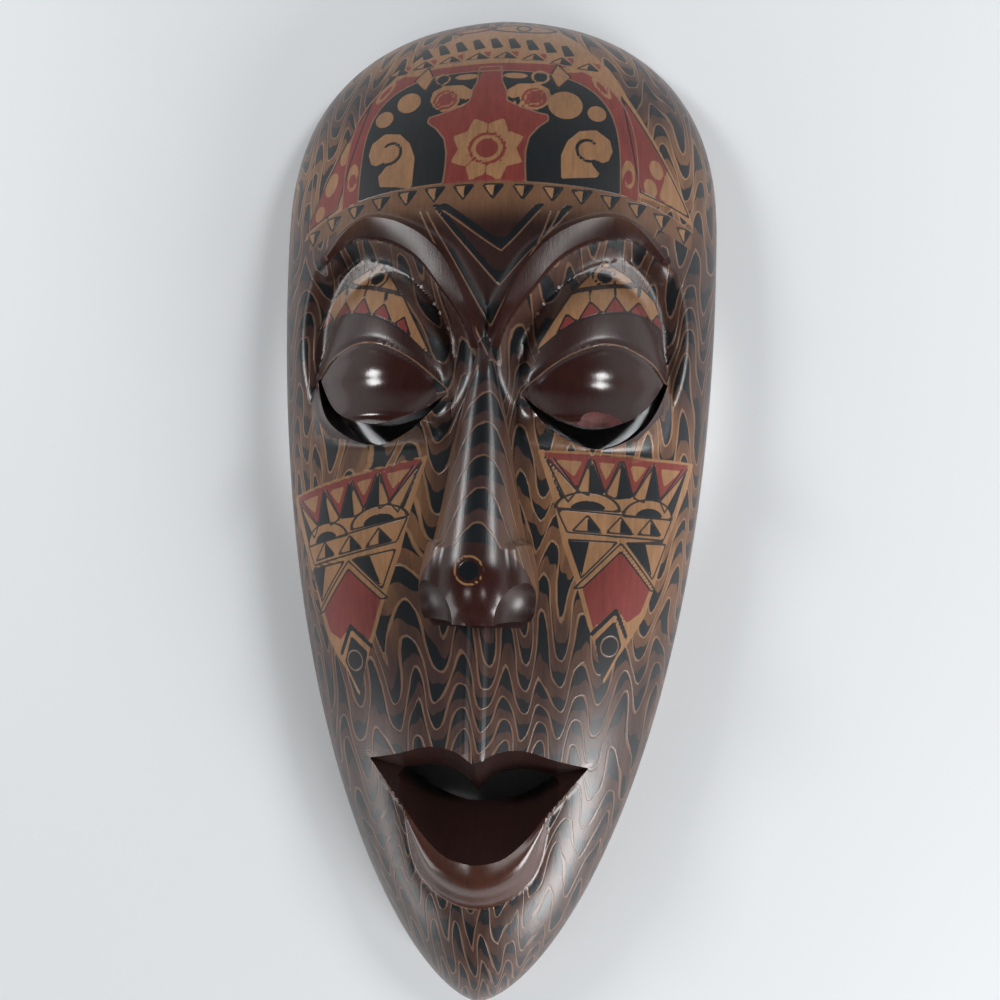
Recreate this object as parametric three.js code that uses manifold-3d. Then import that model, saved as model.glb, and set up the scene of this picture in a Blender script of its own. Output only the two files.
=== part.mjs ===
import * as THREE from 'three';
import { mergeVertices } from 'three/addons/utils/BufferGeometryUtils.js';
import Module from 'manifold-3d';

// Carved wooden wall mask, lying on its back rim with the face up. Millimetres,
// +Y runs from the chin to the crown, +Z out of the face, and the origin is on
// the back plane, midway between crown and chin.

// Overall sizes
const maskLength = 500;
const maskWidth = 222;
const domeHeight = 70;

// The hollow in the back and the wood left round it
const shellWall = 13;
const sideRim = 14;
const crownRim = 25;
const chinRim = 38;
const hollowDepth = 50;

// Heights and depths of the carving, measured from the plain dome
const browHeight = 6;
const browSpread = 7;
const foreheadDip = 5;
const socketDepth = 10;
const lidHeight = 14.5;
const eyeballHeight = 2.2;
const noseHeight = 27.5;
const wingHeight = 2.4;
const lipHeight = 3.6;
const lipRoll = 7;

// Openings cut right through the shell
const eyeSlitWidth = 9.2;
const eyeSlitLean = 6;
const upperLipSlope = 1.25;
const lowerLipSlope = 1.35;

// Fineness of the carved surface
const rowCount = 68;
const columnCount = 38;
const hollowColumnCount = 16;
const browStations = 26;

// The carving is laid out on the face in units of 1/222 of the width and 1/500
// of the length, so that it keeps its proportions.
const layoutAcross = maskWidth / 222;
const layoutAlong = maskLength / 500;

const clamp01 = (value) => Math.min(Math.max(value, 0), 1);

function ease(from, to, value) {
  const t = clamp01((value - from) / (to - from));
  return t * t * (3 - 2 * t);
}

function curveThrough(...points) {
  const curve = new THREE.SplineCurve(points.map(([x, y]) => new THREE.Vector2(x, y)));
  return curve.getPoints(12 * (points.length - 1));
}

// Height of a curve that runs from left to right, at one place across.
function readCurve(curve, x) {
  if (x <= curve[0].x) return curve[0].y;
  for (let i = 1; i < curve.length; i++) {
    const from = curve[i - 1];
    const to = curve[i];
    if (x <= to.x) return from.y + ((to.y - from.y) * (x - from.x)) / (to.x - from.x);
  }
  return curve[curve.length - 1].y;
}

// Distance from a curve, positive on its left, and the share of its length
// passed at the nearest point.
function measureFrom(curve, x, y) {
  let nearest = Infinity;
  let signed = 0;
  let passed = 0;
  let travelled = 0;
  for (let i = 1; i < curve.length; i++) {
    const from = curve[i - 1];
    const stepX = curve[i].x - from.x;
    const stepY = curve[i].y - from.y;
    const stepLength = Math.hypot(stepX, stepY);
    const t = clamp01(((x - from.x) * stepX + (y - from.y) * stepY) / stepLength ** 2);
    const awayX = x - from.x - t * stepX;
    const awayY = y - from.y - t * stepY;
    const away = Math.hypot(awayX, awayY);
    if (away < nearest) {
      nearest = away;
      signed = stepX * awayY - stepY * awayX < 0 ? -away : away;
      passed = travelled + t * stepLength;
    }
    travelled += stepLength;
  }
  return { signed, share: passed / travelled };
}

// Lines of the carving on the right half of the face, in layout units
const browLine = curveThrough(
  [2.5, 58], [6.5, 76], [13, 92], [20.5, 104.5], [31, 114.5], [45, 122], [58, 124], [69, 119.5], [79, 110.5],
);
const upperLipLine = curveThrough(
  [0, -117], [4, -114], [9, -111.3], [16.5, -109.8], [24, -111], [35, -115.3], [50, -120.3],
);
const lowerLipLine = curveThrough(
  [0, -160.6], [10, -159], [17, -155], [25, -147], [32, -138], [42, -128.3], [50, -120.3],
);
const lidEdgeLine = curveThrough(
  [17, 45.5], [25, 39], [34, 35], [45, 32.2], [56, 33], [66.5, 37.5], [74.5, 45], [80.5, 54],
);
const noseSideLine = curveThrough([-60, 23.5], [-37, 23.5], [-20, 20.2], [-5, 17], [30, 10.8], [58, 4.2], [70, 3]);
const noseRiseLine = curveThrough(
  [-56, 0.69], [-45, 0.91], [-31, 1], [-15, 0.84], [5, 0.64], [30, 0.4], [55, 0.2], [72, 0.1],
);
const slitTopLine = curveThrough([0, -135.3], [5.8, -127.5], [14.6, -123.8], [24, -123.4], [33.5, -125.5], [37, -128]);
const slitBottomLine = curveThrough([0, -146], [12, -145.2], [24, -139.5], [32, -133], [37, -128.4]);
const mouthHalfWidth = upperLipLine[upperLipLine.length - 1].x;

// Outline of the rim and the plain dome that the face is carved in

function halfWidthAt(y, length, width) {
  const widest = 0.26 * length;
  const half = width / 2;
  if (y > widest) {
    const s = clamp01((y - widest) / (length / 2 - widest));
    return half * (1 - s ** 2.555) ** 0.484;
  }
  const s = clamp01((widest - y) / (length / 2 + widest));
  return half * (1 - s ** 2.2) ** 0.63;
}

function crownAt(y, length, height) {
  const highest = 0.12 * length;
  if (y > highest) {
    const s = clamp01((y - highest) / (length / 2 - highest));
    return height * (1 - s ** 1.978) ** 0.511;
  }
  const s = clamp01((highest - y) / (length / 2 + highest));
  return height * (1 - s ** 2.9) ** 0.44;
}

const roundOff = (share) => (1 - clamp01(Math.abs(share)) ** 1.6) ** 0.44;

// Each form of the face gives its height over the dome. across is always
// positive, because both halves are alike.

function browProfile(share) {
  const crest = browHeight * (ease(0, 0.22, share) * (1 - 0.85 * ease(0.75, 1, share)) + 0.08);
  const bevel = 2 + 6 * ease(0.05, 0.4, share) * (1 - ease(0.72, 1, share));
  return { crest, bevel };
}

// The brow bone swells softly round the ridge, and the wood between the brows
// lies deeper.
function browRise(brow, across, y) {
  const above = Math.max(brow.signed, 0);
  const below = Math.max(-brow.signed, 0);
  const { crest, bevel } = browProfile(brow.share);
  const swell = brow.signed >= 0 ? Math.exp(-above / browSpread) : 1 - ease(bevel, bevel + browSpread, below);
  const betweenBrows = ease(0, 9, above) * (1 - ease(112, 130, y)) * ease(52, 80, y) * (1 - ease(38, 52, across));
  return 0.5 * crest * swell - foreheadDip * betweenBrows;
}

function eyeRise(brow, across, y) {
  if (brow.signed >= 0) return 0;
  const { bevel } = browProfile(brow.share);
  const socketReach = Math.hypot((across - 48) / 40, (y - 74) / 52);
  const socket = (1 - ease(0.8, 1.15, socketReach)) * ease(24, 50, y)
    * ease(bevel - 2, bevel + browSpread, -brow.signed);
  const lidReach = ((across - 49) / 35) ** 2 + ((y - 46) / 56) ** 2;
  const lid = clamp01(1 - lidReach) ** 0.75 * ease(20, 34, y);
  const ballReach = ((across - 49) / 33) ** 2 + ((y - 54) / 33) ** 2;
  const ball = (1 - ease(0.8, 1, ballReach)) * ease(68, 52, y);
  return lidHeight * lid + eyeballHeight * ball - socketDepth * socket;
}

function lipRise(across, y) {
  if (y > -118) return 0;
  const { signed, share } = measureFrom(lowerLipLine, across, y);
  const fade = 1 - ease(0.55, 0.97, share);
  const reach = Math.max(23 * (1 - ease(0.12, 0.95, share)), 1.5);
  const out = Math.max(-signed, 0);
  if (signed > 0) return lipHeight * fade * Math.exp(-signed / 20);
  if (out > reach) return fade * (lipHeight - lipRoll) * Math.exp((reach - out) / 11);
  const t = out / reach;
  return fade * (lipHeight - lipRoll * ease(0.1, 1, t) + 0.33 * lipHeight * Math.sin(Math.PI * t));
}

// Height of the face before the nose and brow ridges are added and the mouth,
// eye slits and nostrils are cut.
function faceHeight(x, y) {
  const half = halfWidthAt(y, maskLength, maskWidth);
  if (half <= 0) return 0;
  const share = Math.abs(x) / half;
  if (share >= 1) return 0;
  const across = Math.abs(x) / layoutAcross;
  const along = y / layoutAlong;
  const brow = measureFrom(browLine, across, along);
  const carving = browRise(brow, across, along) + eyeRise(brow, across, along) + lipRise(across, along);
  const keepRim = 1 - ease(0.9, 0.99, share);
  return crownAt(y, maskLength, domeHeight) * roundOff(share) + carving * keepRim;
}

// The mouth is cut by two slanting planes that meet in a valley. This gives its
// section at one place across, as places along the mask and heights.
function mouthSection(x) {
  const across = Math.abs(x) / layoutAcross;
  const upperY = readCurve(upperLipLine, across) * layoutAlong;
  const lowerY = readCurve(lowerLipLine, across) * layoutAlong;
  const upperZ = faceHeight(x, upperY);
  const lowerZ = faceHeight(x, lowerY);
  const slopes = upperLipSlope + lowerLipSlope;
  const valleyY = (lowerZ - upperZ + upperLipSlope * upperY + lowerLipSlope * lowerY) / slopes;
  const valleyZ = upperZ - upperLipSlope * (upperY - valleyY);
  return { upperY, lowerY, upperZ, lowerZ, valleyY, valleyZ };
}

function carvedHeight(x, y) {
  const plain = faceHeight(x, y);
  if (Math.abs(x) >= mouthHalfWidth * layoutAcross) return plain;
  const mouth = mouthSection(x);
  if (y > mouth.upperY || y < mouth.lowerY) return plain;
  const fromUpper = mouth.upperZ - upperLipSlope * (mouth.upperY - y);
  const fromLower = mouth.lowerZ - lowerLipSlope * (y - mouth.lowerY);
  return Math.min(plain, Math.max(fromUpper, fromLower));
}

// The hollow keeps one wall's thickness from the carved face at every point.
function hollowHeight(x, y, share, length) {
  const dome = crownAt(y, length, hollowDepth) * roundOff(share);
  let clear = carvedHeight(x, y) - shellWall;
  for (const reach of [0.5, 0.9]) {
    const lower = shellWall * Math.sqrt(1 - reach ** 2);
    for (let step = 0; step < 8; step++) {
      const turn = (step * Math.PI) / 4;
      const nearX = x + shellWall * reach * Math.cos(turn);
      const nearY = y + shellWall * reach * Math.sin(turn);
      clear = Math.min(clear, carvedHeight(nearX, nearY) - lower);
    }
  }
  return Math.abs(share) >= 1 ? 0 : Math.max(Math.min(dome, clear), 0.5 * dome * (1 - share ** 2));
}

// Places from one value to another, closer together where density is high.
function spread(count, from, to, density) {
  const fine = 4000;
  const sums = [0];
  for (let i = 0; i < fine; i++) {
    const a = from + ((to - from) * i) / fine;
    const b = from + ((to - from) * (i + 1)) / fine;
    sums.push(sums[i] + density(a, b));
  }
  const places = [];
  let at = 0;
  for (let i = 0; i <= count; i++) {
    const wanted = (sums[fine] * i) / count;
    while (at < fine - 1 && sums[at + 1] < wanted) at++;
    const part = clamp01((wanted - sums[at]) / (sums[at + 1] - sums[at]));
    places.push(from + ((to - from) * (at + part)) / fine);
  }
  return places;
}

function rowPlaces() {
  const finer = (y) => {
    const along = y / layoutAlong;
    const eyes = ease(10, 22, along) * (1 - ease(110, 130, along));
    const mouth = ease(-196, -185, along) * (1 - ease(-110, -98, along));
    return 1 + 0.9 * eyes + 0.7 * mouth;
  };
  return spread(rowCount, -maskLength / 2, maskLength / 2, (a, b) => {
    const wider = halfWidthAt(b, maskLength, maskWidth) - halfWidthAt(a, maskLength, maskWidth);
    return finer((a + b) / 2) * Math.hypot(b - a, wider);
  });
}

function columnShares(count, noseFiner) {
  const half = spread(count / 2, 0, 1, (a, b) => {
    const fall = domeHeight * (roundOff(b) - roundOff(a));
    const finer = 1 + noseFiner * (1 - ease(0.22, 0.3, a));
    return finer * Math.hypot(((b - a) * maskWidth) / 2, fall);
  });
  return [...half.slice(1).reverse().map((share) => -share), ...half];
}

// A closed body from points and triangles that share them.
const wasm = await Module();
wasm.setup();

function solidFrom(geometry) {
  const plain = geometry.index ? geometry.clone() : geometry;
  plain.deleteAttribute('normal');
  plain.deleteAttribute('uv');
  const merged = mergeVertices(plain, 1e-4);
  const vertProperties = new Float32Array(merged.attributes.position.array);
  const triVerts = new Uint32Array(merged.index.array);
  return new wasm.Manifold(new wasm.Mesh({ numProp: 3, vertProperties, triVerts }));
}

function geometryFrom(solid) {
  const { vertProperties, triVerts } = solid.getMesh();
  const geometry = new THREE.BufferGeometry();
  geometry.setAttribute('position', new THREE.BufferAttribute(new Float32Array(vertProperties), 3));
  geometry.setIndex(Array.from(triVerts));
  const faceted = geometry.toNonIndexed();
  faceted.computeVertexNormals();
  return faceted;
}

function geometryFromFaces(points, faces) {
  const geometry = new THREE.BufferGeometry();
  geometry.setAttribute('position', new THREE.Float32BufferAttribute(points.flat(), 3));
  geometry.setIndex(faces.flat());
  return geometry;
}

// Carved shell: face outside, hollow inside, and a flat rim between them at the
// back. The hollow has half as many rows as the face.
function makeShell() {
  const points = [];
  const faces = [];
  const addPoint = (x, y, z) => points.push([x, y, z]) - 1;
  const addFace = (a, b, c) => {
    if (a !== b && b !== c && c !== a) faces.push([a, b, c]);
  };

  function addGrid(rows, shares, point) {
    return rows.map((y, i) => {
      if (i === 0 || i === rows.length - 1) return new Array(shares.length).fill(addPoint(0, y, 0));
      return shares.map((share) => addPoint(...point(y, share)));
    });
  }
  function fillGrid(grid, flip) {
    for (let i = 0; i < grid.length - 1; i++) {
      for (let j = 0; j < grid[i].length - 1; j++) {
        const corners = [grid[i][j], grid[i][j + 1], grid[i + 1][j + 1], grid[i + 1][j]];
        if (flip) corners.reverse();
        const leftHalf = j < (grid[i].length - 1) / 2;
        if (leftHalf !== flip) {
          addFace(corners[0], corners[1], corners[2]);
          addFace(corners[0], corners[2], corners[3]);
        } else {
          addFace(corners[0], corners[1], corners[3]);
          addFace(corners[1], corners[2], corners[3]);
        }
      }
    }
  }

  const rows = rowPlaces();
  const face = addGrid(rows, columnShares(columnCount, 0.2), (y, share) => {
    const x = share * halfWidthAt(y, maskLength, maskWidth);
    return [x, y, Math.abs(share) >= 1 ? 0 : faceHeight(x, y)];
  });

  const hollowLength = maskLength - crownRim - chinRim;
  const hollowWidth = maskWidth - 2 * sideRim;
  const hollowShift = (chinRim - crownRim) / 2;
  const hollowRows = rows.filter((_, i) => i % 2 === 0).map((y) => (y * hollowLength) / maskLength);
  const hollow = addGrid(hollowRows, columnShares(hollowColumnCount, 0), (y, share) => {
    const x = share * halfWidthAt(y, hollowLength, hollowWidth);
    const z = hollowHeight(x, y + hollowShift, share, maskLength);
    return [x, y, z];
  });
  for (const index of new Set(hollow.flat())) points[index][1] += hollowShift;

  fillGrid(face, false);
  fillGrid(hollow, true);
  const lastFace = face[0].length - 1;
  const lastHollow = hollow[0].length - 1;
  for (let i = 0; i < hollow.length - 1; i++) {
    for (const [near, far, flip] of [[0, 0, false], [lastFace, lastHollow, true]]) {
      const outer = [face[2 * i][near], face[2 * i + 1][near], face[2 * i + 2][near]];
      const inner = [hollow[i][far], hollow[i + 1][far]];
      const strip = [[outer[0], outer[1], inner[0]], [outer[1], inner[1], inner[0]], [outer[1], outer[2], inner[1]]];
      for (const [a, b, c] of strip) flip ? addFace(a, c, b) : addFace(a, b, c);
    }
  }
  return solidFrom(geometryFromFaces(points, faces));
}

// Closed body through a row of sections. Each section is a ring of points that
// runs counterclockwise when seen from the first section's outside.
function loft(sections) {
  const size = sections[0].length;
  const faces = [];
  for (let i = 0; i < sections.length - 1; i++) {
    for (let k = 0; k < size; k++) {
      const a = i * size + k;
      const b = i * size + ((k + 1) % size);
      faces.push([a, b + size, b], [a, a + size, b + size]);
    }
  }
  const end = (sections.length - 1) * size;
  for (let k = 1; k < size - 1; k++) faces.push([0, k, k + 1], [end, end + k + 1, end + k]);
  return solidFrom(geometryFromFaces(sections.flat(), faces));
}

// Mouth: a roof-shaped cutter whose ridge points down, with the lips as its edges.
function makeMouthCutter() {
  const stations = 26;
  const reach = (mouthHalfWidth - 0.6) * layoutAcross;
  const top = domeHeight + noseHeight + 20;
  const sections = [];
  for (let i = 0; i <= stations; i++) {
    const x = reach * Math.sin((Math.PI / 2) * ((2 * i) / stations - 1));
    const m = mouthSection(x);
    const valleyZ = Math.min(m.valleyZ, m.upperZ, m.lowerZ) - 0.6;
    sections.push([
      [x, m.upperY, m.upperZ - 0.4], [x, m.valleyY, valleyZ], [x, m.lowerY, m.lowerZ - 0.4],
      [x, m.lowerY, top], [x, m.upperY, top],
    ]);
  }
  return loft(sections);
}

// Brow ridge: a sharp crest with a bevel towards the eye, tapering at both ends.
function makeBrowRidge(side) {
  const sections = [];
  for (let i = 0; i <= browStations; i++) {
    const share = i / browStations;
    const at = Math.min(Math.round(share * (browLine.length - 1)), browLine.length - 1);
    const before = browLine[Math.max(at - 1, 0)];
    const after = browLine[Math.min(at + 1, browLine.length - 1)];
    const run = Math.hypot(after.x - before.x, after.y - before.y);
    const outX = -(after.y - before.y) / run;
    const outY = (after.x - before.x) / run;
    const place = (away) => [
      side * (browLine[at].x + outX * away) * layoutAcross,
      (browLine[at].y + outY * away) * layoutAlong,
    ];
    const { crest, bevel } = browProfile(share);
    const base = faceHeight(...place(0));
    const foot = 0.6 * browSpread;
    const ring = [
      [...place(foot), faceHeight(...place(foot)) - 0.4],
      [...place(0), base + 0.5 * crest],
      [...place(-bevel), base + 0.2 * crest],
      [...place(-bevel - 1.5), base - socketDepth - 4],
      [...place(foot), base - socketDepth - 4],
    ];
    sections.push(side > 0 ? ring.reverse() : ring);
  }
  return loft(sections);
}

// Nose: a flat-bottomed wedge that rises from the brows to the tip.
function makeNose() {
  const shares = [1, 0.97, 0.88, 0.7, 0.4, 0, -0.4, -0.7, -0.88, -0.97, -1];
  const places = [-53, -49, -44, -38, -31, -22, -12, 0, 14, 28, 42, 55, 64, 72];
  const sections = places.map((along) => {
    const y = along * layoutAlong;
    const half = readCurve(noseSideLine, along) * layoutAcross;
    const rise = noseHeight * readCurve(noseRiseLine, along) * (1 - ease(54, 72, along));
    const ring = shares.map((t) => {
      const x = t * half;
      return [x, y, faceHeight(x, y) - 0.3 + rise * (1 - Math.abs(t) ** 2.6) ** 0.55];
    });
    const buried = faceHeight(0, y) - 14;
    return [...ring, [-half, y, buried], [half, y, buried]];
  });
  return loft(sections);
}

function makeNoseWing(side) {
  const geometry = new THREE.SphereGeometry(1, 16, 10);
  geometry.scale(7.5 * layoutAcross, 10.5 * layoutAlong, 0.4 * noseHeight);
  const x = side * 16.8 * layoutAcross;
  const y = -31 * layoutAlong;
  geometry.translate(x, y, faceHeight(x, y) + 0.29 * noseHeight + wingHeight);
  return solidFrom(geometry);
}

// Upright prism over an outline, leaning towards the chin as it rises past the
// height that the outline is drawn at.
function makeLeaningCutter(outline, drawnAt, lean) {
  const height = domeHeight + noseHeight + 20;
  const geometry = new THREE.ExtrudeGeometry(new THREE.Shape(outline), {
    depth: height + 10, steps: 1, bevelEnabled: false,
  });
  geometry.translate(0, 0, -10);
  const shift = Math.tan((lean * Math.PI) / 180);
  geometry.applyMatrix4(new THREE.Matrix4().set(1, 0, 0, 0, 0, 1, -shift, shift * drawnAt, 0, 0, 1, 0, 0, 0, 0, 1));
  return solidFrom(geometry);
}

// Slit under the upper lip, down to just past the valley.
function makeMouthSlit() {
  const pick = (line) => line.filter((_, i) => i % 4 === 0);
  const mirror = (line) => line.filter((p) => p.x > 0).map((p) => new THREE.Vector2(-p.x, p.y)).reverse();
  const top = [...mirror(pick(slitTopLine)), ...pick(slitTopLine)];
  const bottom = [...mirror(pick(slitBottomLine)), ...pick(slitBottomLine)];
  const outline = [...bottom, ...top.reverse()].map((p) => new THREE.Vector2(p.x * layoutAcross, p.y * layoutAlong));
  return makeLeaningCutter(outline, 0, 0);
}

// Crescent under an eyelid, as wide as eyeSlitWidth at its middle.
function makeEyeSlit(side) {
  const edge = lidEdgeLine.filter((_, i) => i % 5 === 0 || i === lidEdgeLine.length - 1);
  const first = edge[0];
  const last = edge[edge.length - 1];
  const upper = edge.map((p) => new THREE.Vector2(side * p.x * layoutAcross, p.y * layoutAlong));
  const lower = edge.slice(1, -1).map((p) => {
    const share = (p.x - first.x) / (last.x - first.x);
    const drop = eyeSlitWidth * Math.sin(Math.PI * share) ** 0.75;
    return new THREE.Vector2(side * (p.x + 2.5 * share) * layoutAcross, p.y * layoutAlong - drop);
  });
  const outline = [...upper, ...lower.reverse()];
  return makeLeaningCutter(side > 0 ? outline.reverse() : outline, 50, eyeSlitLean);
}

// Scoop that leaves the wing of the nose standing over the nostril.
function makeNostrilScoop(side) {
  const geometry = new THREE.SphereGeometry(1, 20, 12);
  geometry.scale(13 * layoutAcross, 17 * layoutAlong, 0.7 * noseHeight);
  geometry.translate(side * 24 * layoutAcross, -55.5 * layoutAlong, 0);
  geometry.translate(0, 0, faceHeight(0, -58 * layoutAlong) + 0.72 * noseHeight);
  return solidFrom(geometry);
}

let carved = makeShell().add(makeNose());
for (const side of [-1, 1]) carved = carved.add(makeNoseWing(side)).add(makeBrowRidge(side));
carved = carved.subtract(makeMouthCutter());
carved = carved.subtract(makeMouthSlit());
for (const side of [-1, 1]) {
  carved = carved.subtract(makeEyeSlit(side));
  carved = carved.subtract(makeNostrilScoop(side));
}

const stainedWood = new THREE.MeshStandardMaterial({ color: 0x4a2a1e, roughness: 0.42, metalness: 0 });
stainedWood.name = 'stained_wood';
const mask = new THREE.Mesh(geometryFrom(carved), stainedWood);
mask.name = 'carved_mask';

const carvedWallMask = new THREE.Group();
carvedWallMask.name = 'carved_wall_mask';
carvedWallMask.add(mask);

export default carvedWallMask;
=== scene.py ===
import math
import bpy
import numpy as np
from mathutils import Matrix, Vector


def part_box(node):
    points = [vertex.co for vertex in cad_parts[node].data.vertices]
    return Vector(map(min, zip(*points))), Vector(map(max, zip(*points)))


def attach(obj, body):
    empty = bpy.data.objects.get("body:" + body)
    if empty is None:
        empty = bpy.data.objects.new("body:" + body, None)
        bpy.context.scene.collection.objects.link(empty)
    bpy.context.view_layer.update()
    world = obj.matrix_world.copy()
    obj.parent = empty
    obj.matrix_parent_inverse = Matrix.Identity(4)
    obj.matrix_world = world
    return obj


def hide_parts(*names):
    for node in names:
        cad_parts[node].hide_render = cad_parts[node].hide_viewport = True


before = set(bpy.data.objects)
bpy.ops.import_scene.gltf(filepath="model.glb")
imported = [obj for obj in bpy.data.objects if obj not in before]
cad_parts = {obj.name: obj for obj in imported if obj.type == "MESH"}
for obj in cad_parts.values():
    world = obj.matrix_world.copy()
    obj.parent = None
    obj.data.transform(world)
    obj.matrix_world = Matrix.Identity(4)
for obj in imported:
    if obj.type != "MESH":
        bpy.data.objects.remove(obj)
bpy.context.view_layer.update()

# Carved and painted wall mask lying face up on a white floor.
# The carving is worked out in millimetres and turned into metres at the end.
lowCorner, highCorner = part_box("carved_mask")
millimetre = 0.001
maskWidth = (highCorner.x - lowCorner.x) / millimetre
maskLength = (highCorner.y - lowCorner.y) / millimetre


# Camera, as the photograph was taken: from just above the face, nearly square on

cameraPlace = {
    "eye": (0.03061, -0.01165, 0.38535),
    "aim": (0.00476, -0.00018, 0.020),
    "roll": 0.027,          # radians
    "lens": 26.64,          # mm, on a sensor 36 mm wide
    "sensor": 36.0,
}


def addCamera(place):
    eye = Vector(place["eye"])
    ahead = (Vector(place["aim"]) - eye).normalized()
    level = ahead.cross(Vector((0, 1, 0))).normalized()
    upright = level.cross(ahead)
    turn, lift = math.cos(place["roll"]), math.sin(place["roll"])
    right = turn * level + lift * upright
    up = turn * upright - lift * level
    lens = bpy.data.cameras.new("camera")
    lens.sensor_width = place["sensor"]
    lens.lens = place["lens"]
    lens.clip_start = 0.01
    camera = bpy.data.objects.new("camera", lens)
    camera.matrix_world = Matrix((
        (right.x, up.x, -ahead.x, eye.x),
        (right.y, up.y, -ahead.y, eye.y),
        (right.z, up.z, -ahead.z, eye.z),
        (0, 0, 0, 1),
    ))
    bpy.context.scene.collection.objects.link(camera)
    bpy.context.scene.camera = camera


addCamera(cameraPlace)
print("camera placed")


# Small helpers for the carving

def ease(start, end, value):
    t = np.clip((value - start) / (end - start), 0, 1)
    return t * t * (3 - 2 * t)


def curveThrough(*points, steps=12):
    corners = np.array(points, float)
    padded = np.vstack([corners[:1], corners, corners[-1:]])
    t = (np.arange(steps) / steps)[:, None]
    pieces = []
    for a, b, c, d in zip(padded, padded[1:], padded[2:], padded[3:]):
        bend = (2 * a - 5 * b + 4 * c - d) * t ** 2 + (3 * b - a - 3 * c + d) * t ** 3
        pieces.append(0.5 * (2 * b + (c - a) * t + bend))
    return np.vstack(pieces + [corners[-1:]])


def readCurve(curve, x):
    return np.interp(x, curve[:, 0], curve[:, 1])


def measureFrom(curve, x, y):
    # distance from a curve, positive on its left, and the share of it that is passed
    x, y = np.broadcast_arrays(np.asarray(x, float), np.asarray(y, float))
    nearest = np.full(x.shape, 1e9)
    signed = np.zeros(x.shape)
    passed = np.zeros(x.shape)
    travelled = 0.0
    for start, end in zip(curve[:-1], curve[1:]):
        stepX, stepY = end - start
        stepLength = math.hypot(stepX, stepY)
        t = np.clip(((x - start[0]) * stepX + (y - start[1]) * stepY) / stepLength ** 2, 0, 1)
        awayX = x - start[0] - t * stepX
        awayY = y - start[1] - t * stepY
        away = np.hypot(awayX, awayY)
        closer = away < nearest
        side = np.where(stepX * awayY - stepY * awayX < 0, -1.0, 1.0)
        nearest = np.where(closer, away, nearest)
        signed = np.where(closer, side * away, signed)
        passed = np.where(closer, travelled + t * stepLength, passed)
        travelled += stepLength
    return signed, passed / travelled


def spread(count, start, end, density):
    # places from start to end, closer together where density is high
    fine = np.linspace(start, end, 4001)
    sums = np.concatenate([[0], np.cumsum(density(fine[:-1], fine[1:]))])
    return np.interp(np.linspace(0, sums[-1], count + 1), sums, fine)


# Form of the mask: the plain dome, and what is carved in it

form = {
    "domeHeight": 70.0,
    "shellWall": 13.0,
    "sideRim": 14.0,
    "crownRim": 25.0,
    "chinRim": 38.0,
    "hollowDepth": 50.0,
    "browHeight": 6.0,
    "browSpread": 7.0,
    "foreheadDip": 5.0,
    "socketDepth": 10.0,
    "lidHeight": 14.5,
    "eyeballHeight": 2.2,
    "creaseDepth": 1.3,
    "noseHeight": 27.5,
    "wingSwell": 2.2,
    "philtrumHeight": 1.4,
    "lipHeight": 3.6,
    "lipRoll": 7.0,
    "eyeSlitWidth": 9.2,
    "eyeSlitLean": 6.0,      # degrees
    "upperLipSlope": 1.25,
    "lowerLipSlope": 1.35,
    "faceRows": 384,
    "faceColumns": 212,
    "hollowColumns": 40,
    "rowsPerHollowRow": 4,
}

# half of each line, from the middle outwards
browLine = curveThrough((2.5, 58), (6.5, 76), (13, 92), (20.5, 104.5), (31, 114.5), (45, 122), (58, 124),
                        (69, 119.5), (79, 110.5))
upperLipLine = curveThrough((0, -117), (4, -114), (9, -111.3), (16.5, -109.8), (24, -111), (35, -115.3),
                            (50, -120.3))
lowerLipLine = curveThrough((0, -160.6), (10, -159), (17, -155), (25, -147), (32, -138), (42, -128.3),
                            (50, -120.3))
lidEdgeLine = curveThrough((17, 45.5), (25, 39), (34, 35), (45, 32.2), (56, 33), (66.5, 37.5), (74.5, 45),
                           (80.5, 54))
creaseLine = curveThrough((17, 46.8), (26, 54.5), (36, 61.5), (48, 66.8), (58, 68), (68, 65.5), (76, 61.5),
                          (82, 54))
slitTopLine = curveThrough((0, -135.3), (5.8, -127.5), (14.6, -123.8), (24, -123.4), (33.5, -125.5),
                           (37, -128))
slitBottomLine = curveThrough((0, -146), (12, -145.2), (24, -139.5), (32, -133), (37, -128.4))
mouthHalfWidth = upperLipLine[-1][0]
# half width and share of the full rise, at places up the nose
noseSideLine = curveThrough((-60, 23.5), (-37, 23.5), (-20, 20.2), (-5, 17), (30, 10.8), (58, 4.2), (70, 3))
noseRiseLine = curveThrough((-56, 0.69), (-45, 0.91), (-31, 1), (-15, 0.84), (5, 0.64), (30, 0.4), (55, 0.2),
                            (72, 0.1))


def halfWidthAt(y, length=maskLength, width=maskWidth):
    widest = 0.26 * length
    above = np.clip((y - widest) / (length / 2 - widest), 0, 1)
    below = np.clip((widest - y) / (length / 2 + widest), 0, 1)
    upper = (1 - above ** 2.555) ** 0.484
    lower = (1 - below ** 2.2) ** 0.63
    return width / 2 * np.where(y > widest, upper, lower)


def crownAt(y, length=maskLength, height=form["domeHeight"]):
    highest = 0.12 * length
    above = np.clip((y - highest) / (length / 2 - highest), 0, 1)
    below = np.clip((highest - y) / (length / 2 + highest), 0, 1)
    upper = (1 - above ** 1.978) ** 0.511
    lower = (1 - below ** 2.9) ** 0.44
    return height * np.where(y > highest, upper, lower)


def roundOff(share):
    return (1 - np.clip(np.abs(share), 0, 1) ** 1.6) ** 0.44


def domeAt(x, y):
    half = np.maximum(halfWidthAt(y), 1e-6)
    return crownAt(y) * roundOff(x / half)


def browProfile(share):
    crest = form["browHeight"] * (ease(0, 0.22, share) * (1 - 0.85 * ease(0.75, 1, share)) + 0.08)
    bevel = 2 + 6 * ease(0.05, 0.4, share) * (1 - ease(0.72, 1, share))
    return crest, bevel


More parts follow.
